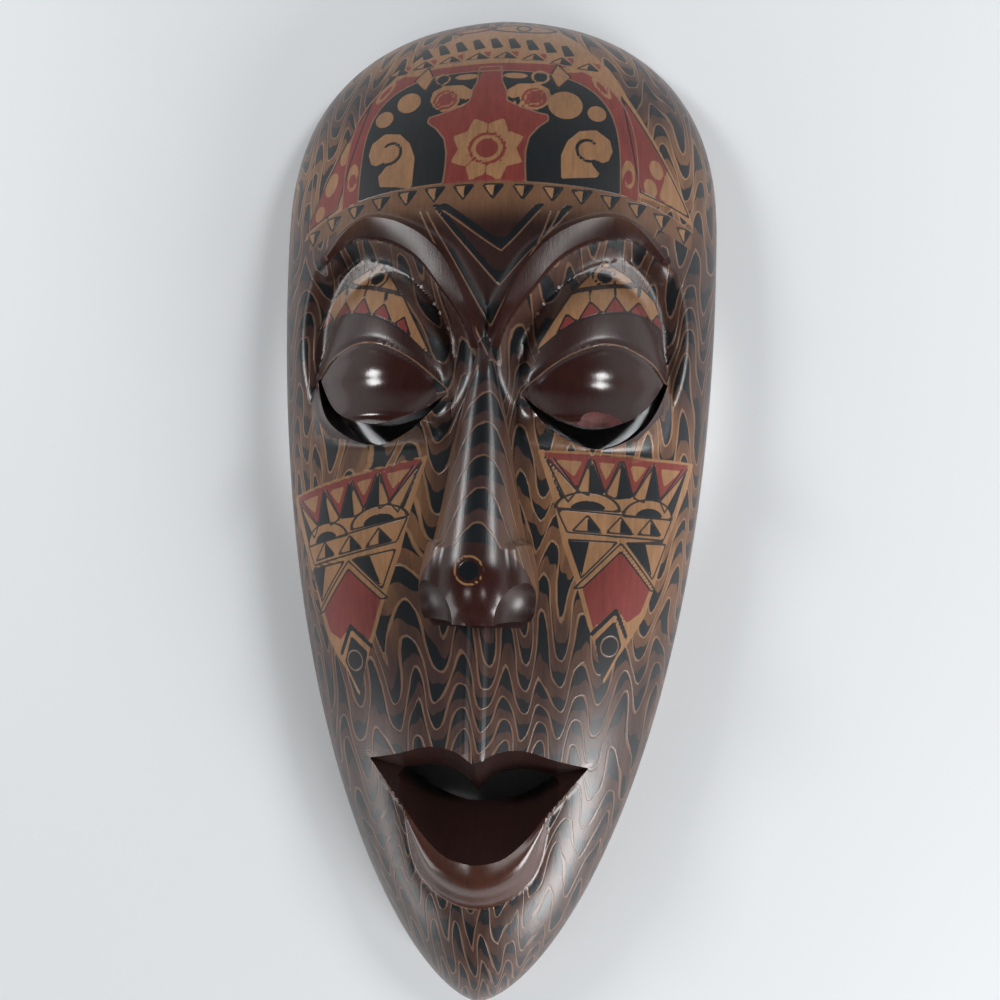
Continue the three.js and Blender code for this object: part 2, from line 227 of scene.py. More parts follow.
def browRise(signed, share, across, y):
    above = np.maximum(signed, 0)
    below = np.maximum(-signed, 0)
    crest, bevel = browProfile(share)
    upperSwell = np.exp(-above / form["browSpread"])
    lowerSwell = 1 - ease(bevel, bevel + form["browSpread"], below)
    swell = np.where(signed >= 0, upperSwell, lowerSwell)
    between = ease(0, 9, above) * (1 - ease(112, 130, y)) * ease(52, 80, y) * (1 - ease(38, 52, across))
    return 0.5 * crest * swell - form["foreheadDip"] * between


def eyeRise(signed, share, across, y):
    bevel = browProfile(share)[1]
    socketReach = np.hypot((across - 48) / 40, (y - 74) / 52)
    socket = (1 - ease(0.8, 1.15, socketReach)) * ease(24, 50, y)
    socket = socket * ease(bevel - 2, bevel + form["browSpread"], -signed)
    lidReach = ((across - 49) / 35) ** 2 + ((y - 46) / 56) ** 2
    lid = np.clip(1 - lidReach, 0, 1) ** 0.75 * ease(20, 34, y)
    ballReach = ((across - 49) / 33) ** 2 + ((y - 54) / 33) ** 2
    ball = (1 - ease(0.8, 1, ballReach)) * (1 - ease(52, 68, y))
    rise = form["lidHeight"] * lid + form["eyeballHeight"] * ball - form["socketDepth"] * socket
    return np.where(signed >= 0, 0, rise)


def creaseRise(across, y):
    # groove over the closed eye, with the eyeball standing a little behind it
    signed, share = measureFrom(creaseLine, across, y)
    ends = ease(0.0, 0.12, share) * (1 - ease(0.86, 1, share))
    groove = np.exp(-(signed / 1.5) ** 2)
    step = ease(0, 5, -signed) - ease(5, 16, -signed)
    return -form["creaseDepth"] * ends * (groove + 0.35 * step * (signed < 0))


def lipReach(share):
    return 22.0 * (1 - ease(0.04, 0.66, share)) + 3.0 * (1 - ease(0.6, 1, share))


def lipRise(across, y):
    signed, share = measureFrom(lowerLipLine, across, y)
    fade = 1 - ease(0.55, 0.97, share)
    reach = np.maximum(lipReach(share), 1.5)
    out = np.maximum(-signed, 0)
    t = out / reach
    height, roll = form["lipHeight"], form["lipRoll"]
    outer = fade * (height - roll) * np.exp(np.minimum(reach - out, 0) / 11)
    onLip = fade * (height - roll * ease(0.3, 1, t) + 0.33 * height * np.sin(np.pi * np.clip(t, 0, 1)))
    above = height * fade * np.exp(-np.maximum(signed, 0) / 20)
    rise = np.where(signed > 0, above, np.where(out > reach, outer, onLip))
    return np.where(y > -118, 0, rise)


def philtrumRise(across, y):
    along = ease(-117, -112, y) * (1 - ease(-56, -50, y))
    return form["philtrumHeight"] * (1 - ease(2.5, 4.8, across)) * along


def faceHeight(x, y):
    x, y = np.broadcast_arrays(np.asarray(x, float), np.asarray(y, float))
    across = np.abs(x)
    share = across / np.maximum(halfWidthAt(y), 1e-6)
    signed, passed = measureFrom(browLine, across, y)
    carving = browRise(signed, passed, across, y) + eyeRise(signed, passed, across, y)
    carving = carving + creaseRise(across, y) + lipRise(across, y) + philtrumRise(across, y)
    height = domeAt(x, y) + carving * (1 - ease(0.9, 0.99, share))
    return np.where(share >= 1, 0, np.maximum(height, 0))


def mouthSection(x):
    across = np.abs(x)
    upperY = readCurve(upperLipLine, across)
    lowerY = readCurve(lowerLipLine, across)
    upperZ = faceHeight(x, upperY)
    lowerZ = faceHeight(x, lowerY)
    upperSlope, lowerSlope = form["upperLipSlope"], form["lowerLipSlope"]
    valleyY = (lowerZ - upperZ + upperSlope * upperY + lowerSlope * lowerY) / (upperSlope + lowerSlope)
    valleyZ = upperZ - upperSlope * (upperY - valleyY)
    return upperY, lowerY, upperZ, lowerZ, valleyY, valleyZ


def carvedHeight(x, y):
    plain = faceHeight(x, y)
    upperY, lowerY, upperZ, lowerZ = mouthSection(x)[:4]
    fromUpper = upperZ - form["upperLipSlope"] * (upperY - y)
    fromLower = lowerZ - form["lowerLipSlope"] * (y - lowerY)
    inMouth = (np.abs(x) < mouthHalfWidth) & (y <= upperY) & (y >= lowerY)
    return np.where(inMouth, np.minimum(plain, np.maximum(fromUpper, fromLower)), plain)


def hollowHeight(x, y, share):
    dome = crownAt(y, maskLength, form["hollowDepth"]) * roundOff(share)
    wall = form["shellWall"]
    clear = carvedHeight(x, y) - wall
    for reach in (0.5, 0.9):
        lower = wall * math.sqrt(1 - reach ** 2)
        for step in range(8):
            turn = step * math.pi / 4
            near = carvedHeight(x + wall * reach * math.cos(turn), y + wall * reach * math.sin(turn))
            clear = np.minimum(clear, near - lower)
    height = np.maximum(np.minimum(dome, clear), 0.5 * dome * (1 - share ** 2))
    return np.where(np.abs(share) >= 1, 0, height)


# Meshes of the shell, of what is added to it and of what is cut out of it.
# Faces carry the number of their finish.

finishNames = ["painted_face", "painted_nose", "dark_stain", "back_wood", "raw_wood"]
finishIndex = {name: index for index, name in enumerate(finishNames)}


def makeObject(name, points, faces, finishes):
    mesh = bpy.data.meshes.new(name)
    places = (np.asarray(points) * millimetre).tolist()
    mesh.from_pydata(places, [], [[int(corner) for corner in face] for face in faces])
    for slotName in finishNames:
        mesh.materials.append(bpy.data.materials[slotName])
    mesh.polygons.foreach_set("material_index", np.asarray(finishes, np.int32))
    mesh.update()
    piece = bpy.data.objects.new(name, mesh)
    bpy.context.scene.collection.objects.link(piece)
    return piece


def rowPlaces(count):
    def density(a, b):
        middle = (a + b) / 2
        painted = ease(-110, -92, middle)
        wider = halfWidthAt(b) - halfWidthAt(a)
        rise = crownAt(b) - crownAt(a)
        return (1 + 0.75 * painted) * np.sqrt((b - a) ** 2 + wider ** 2 + (0.9 * rise) ** 2)
    return spread(count, -maskLength / 2, maskLength / 2, density)


def columnShares(count):
    def density(a, b):
        fall = form["domeHeight"] * (roundOff(b) - roundOff(a))
        return np.hypot((b - a) * maskWidth / 2, fall)
    half = spread(count // 2, 0, 1, density)
    return np.concatenate([-half[:0:-1], half])


def gridFaces(grid, flip):
    faces = []
    for lower, upper in zip(grid[:-1], grid[1:]):
        for j in range(len(lower) - 1):
            corners = [lower[j], lower[j + 1], upper[j + 1], upper[j]]
            kept = [c for k, c in enumerate(corners) if c != corners[k - 1]]
            faces.append(kept[::-1] if flip else kept)
    return faces


def makeShell():
    rows = rowPlaces(form["faceRows"])
    shares = columnShares(form["faceColumns"])
    points = []
    count = 0

    def addGrid(gridRows, gridShares, height, length, width, shift):
        nonlocal count
        y, share = np.meshgrid(gridRows, gridShares, indexing="ij")
        x = share * halfWidthAt(y, length, width)
        z = height(x, y + shift, share)
        grid = np.zeros(y.shape, int)
        for i in range(len(gridRows)):
            if i in (0, len(gridRows) - 1):
                points.append([[0, gridRows[i] + shift, 0]])
                grid[i] = count
                count += 1
            else:
                points.append(np.stack([x[i], y[i] + shift, z[i]], -1))
                grid[i] = np.arange(count, count + len(gridShares))
                count += len(gridShares)
        return grid

    face = addGrid(rows, shares, lambda x, y, s: np.where(np.abs(s) >= 1, 0, faceHeight(x, y)),
                   maskLength, maskWidth, 0)
    hollowLength = maskLength - form["crownRim"] - form["chinRim"]
    hollowWidth = maskWidth - 2 * form["sideRim"]
    shift = (form["chinRim"] - form["crownRim"]) / 2
    hollowRows = rows[::form["rowsPerHollowRow"]] * hollowLength / maskLength
    hollowShares = columnShares(form["hollowColumns"])
    hollow = addGrid(hollowRows, hollowShares, hollowHeight, hollowLength, hollowWidth, shift)

    outside = gridFaces(face, False)
    inside = gridFaces(hollow, True)
    step = form["rowsPerHollowRow"]
    rim = []
    for i in range(len(hollow) - 1):
        for near, flip in ((0, False), (-1, True)):
            outer = [face[step * i + k][near] for k in range(step + 1)]
            inner = [hollow[i][near], hollow[i + 1][near]]
            strip = [(outer[k], outer[k + 1], inner[0]) for k in range(step // 2)]
            strip.append((outer[step // 2], inner[1], inner[0]))
            strip += [(outer[k], outer[k + 1], inner[1]) for k in range(step // 2, step)]
            for corners in strip:
                if len(set(corners)) == 3:
                    rim.append(corners[::-1] if flip else corners)
    finishes = [finishIndex["painted_face"]] * len(outside)
    finishes += [finishIndex["back_wood"]] * (len(inside) + len(rim))
    return makeObject("mask", np.vstack(points), outside + inside + rim, finishes)


def loft(name, sections, finish):
    # closed body through rings of points that run counterclockwise seen from outside the first one
    size = len(sections[0])
    faces = []
    for i in range(len(sections) - 1):
        for k in range(size):
            a = i * size + k
            b = i * size + (k + 1) % size
            faces.append((a, a + size, b + size, b))
    end = (len(sections) - 1) * size
    faces.append(list(range(size)))
    faces.append([end + k for k in reversed(range(size))])
    return makeObject(name, np.vstack(sections), faces, [finishIndex[finish]] * len(faces))


def makeMouthCutter():
    stations = 90
    reach = mouthHalfWidth - 0.6
    top = form["domeHeight"] + form["noseHeight"] + 20
    x = reach * np.sin(np.pi / 2 * np.linspace(-1, 1, stations + 1))
    upperY, lowerY, upperZ, lowerZ, valleyY, valleyZ = mouthSection(x)
    valleyZ = np.minimum(np.minimum(valleyZ, upperZ), lowerZ) - 0.6
    sections = []
    for i in range(stations + 1):
        sections.append(np.array([
            (x[i], upperY[i], upperZ[i] - 0.4), (x[i], valleyY[i], valleyZ[i]),
            (x[i], lowerY[i], lowerZ[i] - 0.4), (x[i], lowerY[i], top), (x[i], upperY[i], top),
        ]))
    return loft("mouth_cutter", sections, "dark_stain")


def makeBrowRidge(side):
    stations, foot = 110, 5.6
    shares = np.linspace(0, 1, stations + 1)
    runs = np.concatenate([[0], np.cumsum(np.hypot(*np.diff(browLine, axis=0).T))])
    runs = runs / runs[-1]
    sections = []
    for share in shares:
        at = np.array([np.interp(share, runs, browLine[:, k]) for k in (0, 1)])
        ahead = np.array([np.interp(min(share + 0.01, 1), runs, browLine[:, k]) for k in (0, 1)])
        behind = np.array([np.interp(max(share - 0.01, 0), runs, browLine[:, k]) for k in (0, 1)])
        along = (ahead - behind) / np.hypot(*(ahead - behind))
        out = np.array([-along[1], along[0]])
        crest, bevel = browProfile(share)

        def point(away, lift, ground=None):
            x, y = at + out * away
            base = float(faceHeight(x, y)) if ground is None else ground
            return (side * x, y, base + lift)

        base = float(faceHeight(*at))
        ring = [point(foot * k, 0.5 * crest * (1 - k) ** 1.7 - 0.35 * k) for k in (1, 0.75, 0.5, 0.28, 0.12)]
        ring.append(point(0, 0.5 * crest, base))
        ring.append(point(-0.5 * bevel, 0.38 * crest, base))
        ring.append(point(-bevel, 0.16 * crest, base))
        ring.append(point(-bevel - 1.5, -form["socketDepth"] - 4, base))
        ring.append(point(foot, -form["socketDepth"] - 4, base))
        sections.append(np.array(ring[::-1] if side > 0 else ring))
    return loft("brow_ridge", sections, "painted_face")


def noseSwell(across, y):
    # the wings swell out under a crisp crescent at the side of the nose
    top = -19.5 - 0.12 * (across - 15) ** 2 * (across < 15) - 0.05 * (across - 17) ** 2
    below = ease(-0.4, 1.0, top - y)
    fade = ease(-54, -38, y)
    return below * (0.35 + 0.65 * fade)


def makeNose():
    shares = np.sin(np.pi / 2 * np.linspace(1, -1, 61))
    shares = np.sign(shares) * np.abs(shares) ** 0.86
    places = np.concatenate([np.arange(-53, -15, 0.9), np.arange(-15, 72.1, 1.3)])
    sections = []
    for y in places:
        half = float(readCurve(noseSideLine, y))
        rise = form["noseHeight"] * float(readCurve(noseRiseLine, y))
        rise = rise * (1 - float(ease(54, 72, y)))
        x = shares * half
        z = faceHeight(x, y) - 0.3 + rise * (1 - np.abs(shares) ** 2.6) ** 0.55
        swell = noseSwell(np.abs(x), y) * ease(0.58, 0.72, np.abs(shares)) * form["wingSwell"]
        z = z + 0.75 * swell * (np.abs(shares) < 0.999)
        x = x + np.sign(shares) * swell * ease(-53, -50, y)
        buried = float(faceHeight(0, y)) - 14
        ring = np.stack([x, np.full(len(x), y), z], -1)
        sections.append(np.vstack([ring, [(x[-1], y, buried), (x[0], y, buried)]]))
    return loft("nose", sections, "painted_nose")


def prism(name, outline, drawnAt, lean, finish):
    # upright prism that leans towards the chin as it rises past the height it is drawn at
    top = form["domeHeight"] + form["noseHeight"] + 30
    shift = math.tan(math.radians(lean))
    outline = np.asarray(outline)
    sections = []
    for z in (-10, top):
        leaned = outline[:, 1] - shift * (z - drawnAt)
        sections.append(np.stack([outline[:, 0], leaned, np.full(len(outline), z)], -1))
    return loft(name, [ring[::-1] for ring in sections], finish)


def mirrored(curve):
    left = curve[curve[:, 0] > 0][::-1] * (-1, 1)
    return np.vstack([left, curve])


def makeMouthSlit():
    outline = np.vstack([mirrored(slitBottomLine), mirrored(slitTopLine)[::-1]])
    return prism("mouth_slit_cutter", outline, 0, 0, "dark_stain")


def makeEyeSlit(side):
    share = (lidEdgeLine[:, 0] - lidEdgeLine[0, 0]) / (lidEdgeLine[-1, 0] - lidEdgeLine[0, 0])
    drop = form["eyeSlitWidth"] * np.sin(np.pi * np.clip(share, 0, 1)) ** 0.75
    lower = np.stack([lidEdgeLine[:, 0] + 2.5 * share, lidEdgeLine[:, 1] - drop], -1)
    outline = np.vstack([lidEdgeLine, lower[1:-1][::-1]]) * (side, 1)
    outline = outline if side < 0 else outline[::-1]
    return prism("eye_slit_cutter", outline, 50, form["eyeSlitLean"], "dark_stain")


def ellipsoid(name, centre, radii, finish, tilt=0.0, rings=28, around=48, roughness=0.0):
    rng = np.random.default_rng(7)
    sections = []
    for a in np.linspace(0.04, math.pi - 0.04, rings):
        turn = np.linspace(0, 2 * math.pi, around, endpoint=False)
        wobble = 1 + roughness * rng.uniform(-1, 1, around)
        ring = np.stack([np.full(around, math.cos(a)), np.sin(a) * np.cos(turn) * wobble,
                         np.sin(a) * np.sin(turn) * wobble], -1)
        sections.append(ring)
    c, s = math.cos(tilt), math.sin(tilt)
    turnMatrix = np.array([[c, -s, 0], [s, c, 0], [0, 0, 1]])
    placed = [(ring * radii) @ turnMatrix.T + centre for ring in sections]
    return loft(name, placed, finish)


def makeNostrilScoop(side):
    scoop = {"across": 22.5, "along": -51.0, "radii": (14.0, 16.0, 19.0), "height": 0.72}
    z = float(faceHeight(0, -58)) + scoop["height"] * form["noseHeight"]
    centre = (side * scoop["across"], scoop["along"], z)
    return ellipsoid("scoop_cutter", centre, scoop["radii"], "dark_stain")


def makeChips():
    # wood broken off the edge of the right lid and the outer end of the left brow
    chips = [
        {"at": (49.5, 31.5, -1.5), "radii": (12.5, 4.6, 5.0), "tilt": -0.02},
        {"at": (-79.5, 109.5, 4.5), "radii": (3.6, 3.2, 4.0), "tilt": 0.5},
    ]
    cutters = []
    for chip in chips:
        x, y, lift = chip["at"]
        z = float(faceHeight(x, y + 2)) + lift
        cutter = ellipsoid("chip_cutter", (x, y, z), chip["radii"], "raw_wood", chip["tilt"],
                           rings=14, around=22, roughness=0.10)
        cutters.append(cutter)
    return cutters


def combine(piece, other, operation):
    change = piece.modifiers.new(operation.lower(), "BOOLEAN")
    change.operation = operation
    change.object = other
    change.solver = "MANIFOLD"
    change.material_mode = "INDEX"
    bpy.context.view_layer.update()
    evaluated = piece.evaluated_get(bpy.context.evaluated_depsgraph_get())
    result = bpy.data.meshes.new_from_object(evaluated)
    if len(result.polygons) < 1000:
        raise RuntimeError(f"the {operation.lower()} with {other.name} failed")
    old = piece.data
    piece.modifiers.clear()
    piece.data = result
    bpy.data.meshes.remove(old)
    bpy.data.objects.remove(other)


for finishName in finishNames:
    bpy.data.materials.new(finishName)

mask = makeShell()
print("shell made,", len(mask.data.polygons), "faces")
combine(mask, makeNose(), "UNION")
for side in (-1, 1):
    combine(mask, makeBrowRidge(side), "UNION")
combine(mask, makeMouthCutter(), "DIFFERENCE")
combine(mask, makeMouthSlit(), "DIFFERENCE")
for side in (-1, 1):
    combine(mask, makeEyeSlit(side), "DIFFERENCE")
    combine(mask, makeNostrilScoop(side), "DIFFERENCE")
for chipCutter in makeChips():
    combine(mask, chipCutter, "DIFFERENCE")

mesh = mask.data
mesh.name = "carved_mask_surface"
mesh.set_sharp_from_angle(angle=math.radians(38))
triangles = sum(len(p.vertices) - 2 for p in mesh.polygons)
print("mask carved,", triangles, "triangles")


# Surface coordinates in millimetres: across from the centre line and along from
# the middle, both measured on the plain dome

def surfaceTables():
    rows = np.linspace(-maskLength / 2, maskLength / 2, 501)
    along = np.concatenate([[0], np.cumsum(np.hypot(np.diff(rows), np.diff(crownAt(rows))))])
    along = along - np.interp(0, rows, along)
    shares = np.linspace(0, 1, 161)
    y, share = np.meshgrid(rows, shares, indexing="ij")
    x = share * halfWidthAt(y)
    z = crownAt(y) * roundOff(share)
    steps = np.hypot(np.diff(x, axis=1), np.diff(z, axis=1))
    across = np.concatenate([np.zeros((len(rows), 1)), np.cumsum(steps, axis=1)], axis=1)
    return rows, along, shares, across


def surfacePlace(x, y):
    rows, along, shares, across = surfaceTables()
    share = np.clip(np.abs(x) / np.maximum(halfWidthAt(y), 1e-6), 0, 1)
    row = np.clip((y - rows[0]) / (rows[1] - rows[0]), 0, len(rows) - 1.001)
    column = share * (len(shares) - 1)
    i, j = row.astype(int), np.minimum(column.astype(int), len(shares) - 2)
    a, b = row - i, column - j
    mixed = (across[i, j] * (1 - a) * (1 - b) + across[i + 1, j] * a * (1 - b)
             + across[i, j + 1] * (1 - a) * b + across[i + 1, j + 1] * a * b)
    return np.sign(x) * mixed, np.interp(y, rows, along)


vertexPlaces = np.zeros(len(mesh.vertices) * 3, np.float32)
mesh.vertices.foreach_get("co", vertexPlaces)
vertexPlaces = vertexPlaces.reshape(-1, 3).astype(float) / millimetre
vertexX, vertexY, vertexZ = vertexPlaces.T
su, sv = surfacePlace(vertexX, vertexY)


# Painted shapes. Each is a field of distances, negative inside.

fieldReach = 9.0


def emptyField():
    return np.full(su.shape, fieldReach)


def limited(field):
    return np.clip(field, -fieldReach, fieldReach)


def nearBox(low, high):
    nearAcross = (su > low[0] - fieldReach) & (su < high[0] + fieldReach)
    nearAlong = (sv > low[1] - fieldReach) & (sv < high[1] + fieldReach)
    return nearAcross & nearAlong


def awayFromEdge(x, y, start, end):
    # square of the distance from a straight edge
    (ax, ay), (bx, by) = start, end
    ex, ey = bx - ax, by - ay
    t = np.clip(((x - ax) * ex + (y - ay) * ey) / max(ex * ex + ey * ey, 1e-9), 0, 1)
    return (x - ax - t * ex) ** 2 + (y - ay - t * ey) ** 2


def polygon(corners):
    corners = np.array(corners, float)
    near = nearBox(corners.min(0), corners.max(0))
    x, y = su[near], sv[near]
    best = np.full(x.shape, fieldReach ** 2)
    inside = np.zeros(x.shape, bool)
    for start, end in zip(corners, np.roll(corners, -1, axis=0)):
        best = np.minimum(best, awayFromEdge(x, y, start, end))
        if start[1] != end[1]:
            crossing = (end[0] - start[0]) * (y - start[1]) / (end[1] - start[1]) + start[0]
            inside ^= ((start[1] > y) != (end[1] > y)) & (x < crossing)
    field = emptyField()
    field[near] = np.where(inside, -1, 1) * np.sqrt(best)
    return field


def oval(centre, radii, turn=0.0):
    dx, dy = su - centre[0], sv - centre[1]
    c, s = math.cos(turn), math.sin(turn)
    reach = np.hypot((c * dx + s * dy) / radii[0], (c * dy - s * dx) / radii[1])
    return np.minimum((reach - 1) * min(radii), fieldReach)


def disc(centre, radius):
    return oval(centre, (radius, radius))


def stroke(points, halfWidth):
    corners = np.array(points, float)
    near = nearBox(corners.min(0), corners.max(0))
    x, y = su[near], sv[near]
    best = np.full(x.shape, fieldReach ** 2)
    for start, end in zip(corners[:-1], corners[1:]):
        best = np.minimum(best, awayFromEdge(x, y, start, end))
    field = emptyField()
    field[near] = np.sqrt(best) - halfWidth
    return field


def bothOf(a, b):
    return np.maximum(a, b)


layers = {name: emptyField() for name in ("tan", "red", "black", "brown")}
inkLines = {name: emptyField() for name in ("first", "second", "third")}
tanLines = emptyField()
bendLines = emptyField()


def paint(name, shape, ink=None):
    for other in layers:
        if other == name:
            layers[other] = np.minimum(layers[other], shape)
        else:
            layers[other] = np.maximum(layers[other], -shape)
    if ink:
        drawInk(ink, shape)


def paintRings(centre, rings):
    for layer, radius in rings:
        paint(layer, disc(centre, radius))


def exclusive(a, b):
    return np.maximum(np.minimum(a, b), -np.maximum(a, b))


def drawInk(ink, shape):
    inkLines[ink] = exclusive(inkLines[ink], shape)


def drawTan(shape):
    global tanLines
    tanLines = exclusive(tanLines, shape)


def eraseLines(field, where):
    # takes lines away without making a new one at the border
    return np.where(where, np.where(field < 0, -fieldReach, fieldReach), field)


# Cheek panels

cheekPanel = {
    "left": {"side": -1, "tilt": -0.235, "lift": 14.7, "blackSide": 1},
    "right": {"side": 1, "tilt": -0.03, "lift": 18.9, "blackSide": -1},
}
spikeTips = [26.5, 48.0, 63.5, 80.5, 103.0]
spikeFeet = [(35.5, -21.0), (42.0, -15.2), (55.3, -16.0), (69.3, -16.6), (84.5, -17.0), (92.5, -25.5)]


def paintCheek(side, tilt, lift, blackSide):
    def at(p, q):
        return (side * p, lift + q + tilt * (p - 28))

    def shape(*points):
        return polygon([at(p, q) for p, q in points])

    ground = shape((24, 1.5), (64, 2.2), (108, 2.2), (103, -12), (95, -26), (90, -38), (84, -56), (79, -70),
                   (70, -82), (58, -96), (54, -84), (49, -74), (43, -56), (36, -38), (32, -22))
    paint("tan", ground)
    # red triangles hanging from the top line, tan inside
    for left, right, foot in zip(spikeTips[:-1], spikeTips[1:], spikeFeet[1:-1]):
        paint("red", shape((left + 0.8, -0.6), (right - 0.8, -0.6), (foot[0], foot[1] + 0.4)))
        drawInk("first", shape((left - 1.4, 5), (right + 1.4, 5), (foot[0], foot[1] + 0.4)))
        middle = 0.3 * left + 0.3 * right + 0.4 * foot[0]
        innerLeft, innerRight = [0.75 * end + 0.25 * middle for end in (left, right)]
        paint("tan", shape((innerLeft + 1.6, -2.2), (innerRight - 1.6, -2.2),
                           (0.5 * middle + 0.5 * foot[0], 0.62 * foot[1])))
    paint("red", shape((27, 0.9), (103, 0.9), (103, -0.5), (27, -0.5)))
    # spikes with one black half
    for k, tip in enumerate(spikeTips):
        inner, outer = spikeFeet[k], spikeFeet[k + 1]
        share = 0.42 if k else 0.35
        foot = (inner[0] + share * (outer[0] - inner[0]), inner[1] + share * (outer[1] - inner[1]) - 1.5)
        halves = [((tip, -0.4), outer, foot), ((tip, -0.4), foot, inner)]
        if k == 0:
            halves.reverse()
        paint("black", shape(*halves[0]))
        paint("tan", shape(*halves[1]), "second")
    # two suns on the line
    for centre, radii in (((47.5, -23.2), (15.2, 7.6)), ((78.8, -25.0), (14.3, 8.2))):
        place = at(*centre)
        turn = math.atan(tilt) * side
        above = shape((26, centre[1] + 20), (104, centre[1] + 20), (104, centre[1]), (26, centre[1]))
        paint("tan", bothOf(oval(place, radii, turn), above), "third")
        paint("black", bothOf(oval(place, (radii[0] * 0.55, radii[1] * 0.52), turn), above))
    # row of small triangles, one half black
    paint("tan", shape((33, -23.6), (93, -25.2), (88, -34.8), (38, -33.4)), "second")
    for centre in (47.3, 63.3, 79.6):
        apex = (centre, -25.4)
        ends = [(centre - 7.0, -32.6), (centre + 7.0, -32.9)]
        paint("tan", shape(apex, ends[0], ends[1]), "first")
        blackEnd = ends[1] if blackSide < 0 else ends[0]
        paint("black", shape(apex, blackEnd, (centre, -32.7)))
    # hanging triangles, one part black
    for near, far, foot, split in ((38.5, 62.0, 45.0, 0.42), (66.5, 90.0, 82.5, 0.45)):
        cut = near + (split if blackSide < 0 else 1 - split) * (far - near)
        top = -36.6
        paint("tan", shape((near, top), (far, top), (foot, -53.0)), "second")
        if blackSide < 0:
            paint("black", shape((near, top), (cut, top), (foot, -52.5)))
        else:
            paint("black", shape((cut, top), (far, top), (foot, -52.5)))
    # red shield
    shield = shape((64, -38.6), (81.5, -57), (76.5, -68), (69, -72.5), (63, -66), (51.5, -75), (45.5, -56.5))
    paint("red", shield)
    roof = shape((64, -36.9), (85.8, -58.6), (81.4, -57.8), (64, -40.6), (45.8, -57.2), (41.4, -57.8))
    paint("tan", roof, "third")
    # arrow with an eye
    paint("tan", shape((51, -78.5), (63, -66.5), (69.5, -80), (58, -100)))
    paint("black", stroke([at(50.6, -77.8), at(62.8, -67.0), at(68.8, -79.0)], 0.95))
    paint("black", shape((62.3, -71.6), (52.8, -80.2), (57, -99), (66.5, -83)))
    drawTan(disc(at(60.3, -83.3), 4.6))
    inkLines["first"] = eraseLines(inkLines["first"], shape((18, -0.5), (112, -0.5), (112, 9), (18, 9)) < 0)


for panel in cheekPanel.values():
    paintCheek(**panel)
print("cheeks painted")


# Lids: a triangle with an eye over a fan of petals

lidPaint = {
    "left": {"side": -1, "turn": 0.05, "shiftAcross": 1.5, "shiftAlong": -1.2},
    "right": {"side": 1, "turn": 0.0, "shiftAcross": 0.0, "shiftAlong": 0.0},
}


def paintLid(side, turn, shiftAcross, shiftAlong):
    def at(p, q):
        dp, dq = p - 55, q - 95
        return (side * (55 + shiftAcross + dp * math.cos(turn) - dq * math.sin(turn)),
                95 + shiftAlong + dq * math.cos(turn) + dp * math.sin(turn))

    def shape(*points):
        return polygon([at(p, q) for p, q in points])

    arc = curveThrough((25, 66), (34, 73.3), (45, 79.4), (55, 82.4), (66, 84), (76, 83.8), (86, 79), steps=5)
    # plain band between the fan and the crease, and the plain ball under it
    paint("brown", shape(*arc, (88, 70), (84, 40), (70, 26), (46, 24), (28, 32), (16, 44)))
    # fan
    fan = [(38, 92.2), (70, 100.6), (79, 94), (88, 78), *arc[::-1], (20, 62)]
    paint("tan", shape(*fan), "first")
    petals = [30.5, 40.0, 52.0, 64.0, 77.5, 86.0]
    for k, (start, end) in enumerate(zip(petals[:-1], petals[1:])):
        middle = (start + end) / 2
        inner = float(readCurve(arc, middle))
        apex = inner + 8.6 - abs(k - 2) * 0.9
        paint("red", shape((start + 0.4, float(readCurve(arc, start)) + 0.5), (middle, apex),
                           (end - 0.4, float(readCurve(arc, end)) + 0.5), (middle, inner + 0.2)), "second")
        barAbove = 92.2 + 0.262 * (middle - 38)
        if barAbove > apex + 1.5 and 38 < middle < 72:
            paint("black", stroke([at(middle, apex), at(middle * 0.94 + 3.4, barAbove)], 0.45))
    for k, centre in enumerate((46.2, 58.2, 70.0)):
        top = 95.2 + 0.27 * (centre - 40) - 1.5
        paint("black", stroke([at(centre, top), at(centre + (centre - 56) * 0.12, top - 6.0)], 0.42))
    # triangle with the ring
    paint("tan", shape((39, 93.2), (52, 110), (70, 101.4)), "second")
    paint("tan", shape((37.5, 91.2), (71, 99.8), (70.6, 101.4), (37.8, 92.8)), "first")
    paintRings(at(53.0, 101.8), [("black", 6.2), ("tan", 5.2), ("black", 3.6)])


for lid in lidPaint.values():
    paintLid(**lid)
print("lids painted")


# Forehead: a lunette with a vase and a flower, bands, rows of triangles

panelAxis = -2.8
outerTriangles = [
    {"corners": [(59.5, 193), (97.5, 134.5), (69, 141.5)], "turn": 0.35,
     "ovals": [((77.5, 154.6), (3.6, 5.2)), ((74.4, 144.6), (3.4, 4.8))]},
    {"corners": [(-62, 192), (-97.5, 127.5), (-77, 134.5)], "turn": -0.35,
     "ovals": [((-73.6, 164), (3.0, 7.0)), ((-81.5, 148.5), (3.6, 6.4)), ((-88.2, 134.6), (3.2, 4.2))]},
]
waves = [{"side": -1, "foot": 139.5}, {"side": 1, "foot": 143.0}]
beasts = [{"side": -1, "ring": 3.9, "dot": 2.6}, {"side": 1, "ring": 4.5, "dot": 3.1}]
flowerShape = {
    "centre": (-2.6, 157.2),
    "petals": 8,
    "tan": [(6.5, -2.6), (12.5, -4.9), (17.8, -0.4), (12.5, 4.9), (6.5, 2.6)],
    "red": [(6.0, -0.8), (10.5, 0.0), (6.0, 0.8)],
    "rings": [("red", 8.4), ("tan", 7.0), ("red", 5.0)],
}


def panelFoot(u):
    return 140.3 - 11.5 * (np.abs(u - 4) / 93) ** 3


def shifted(points, u, v=0.0):
    return [(u + p, v + q) for p, q in points]


def fromAxis(points, side):
    return [(panelAxis + side * p, q) for p, q in points]


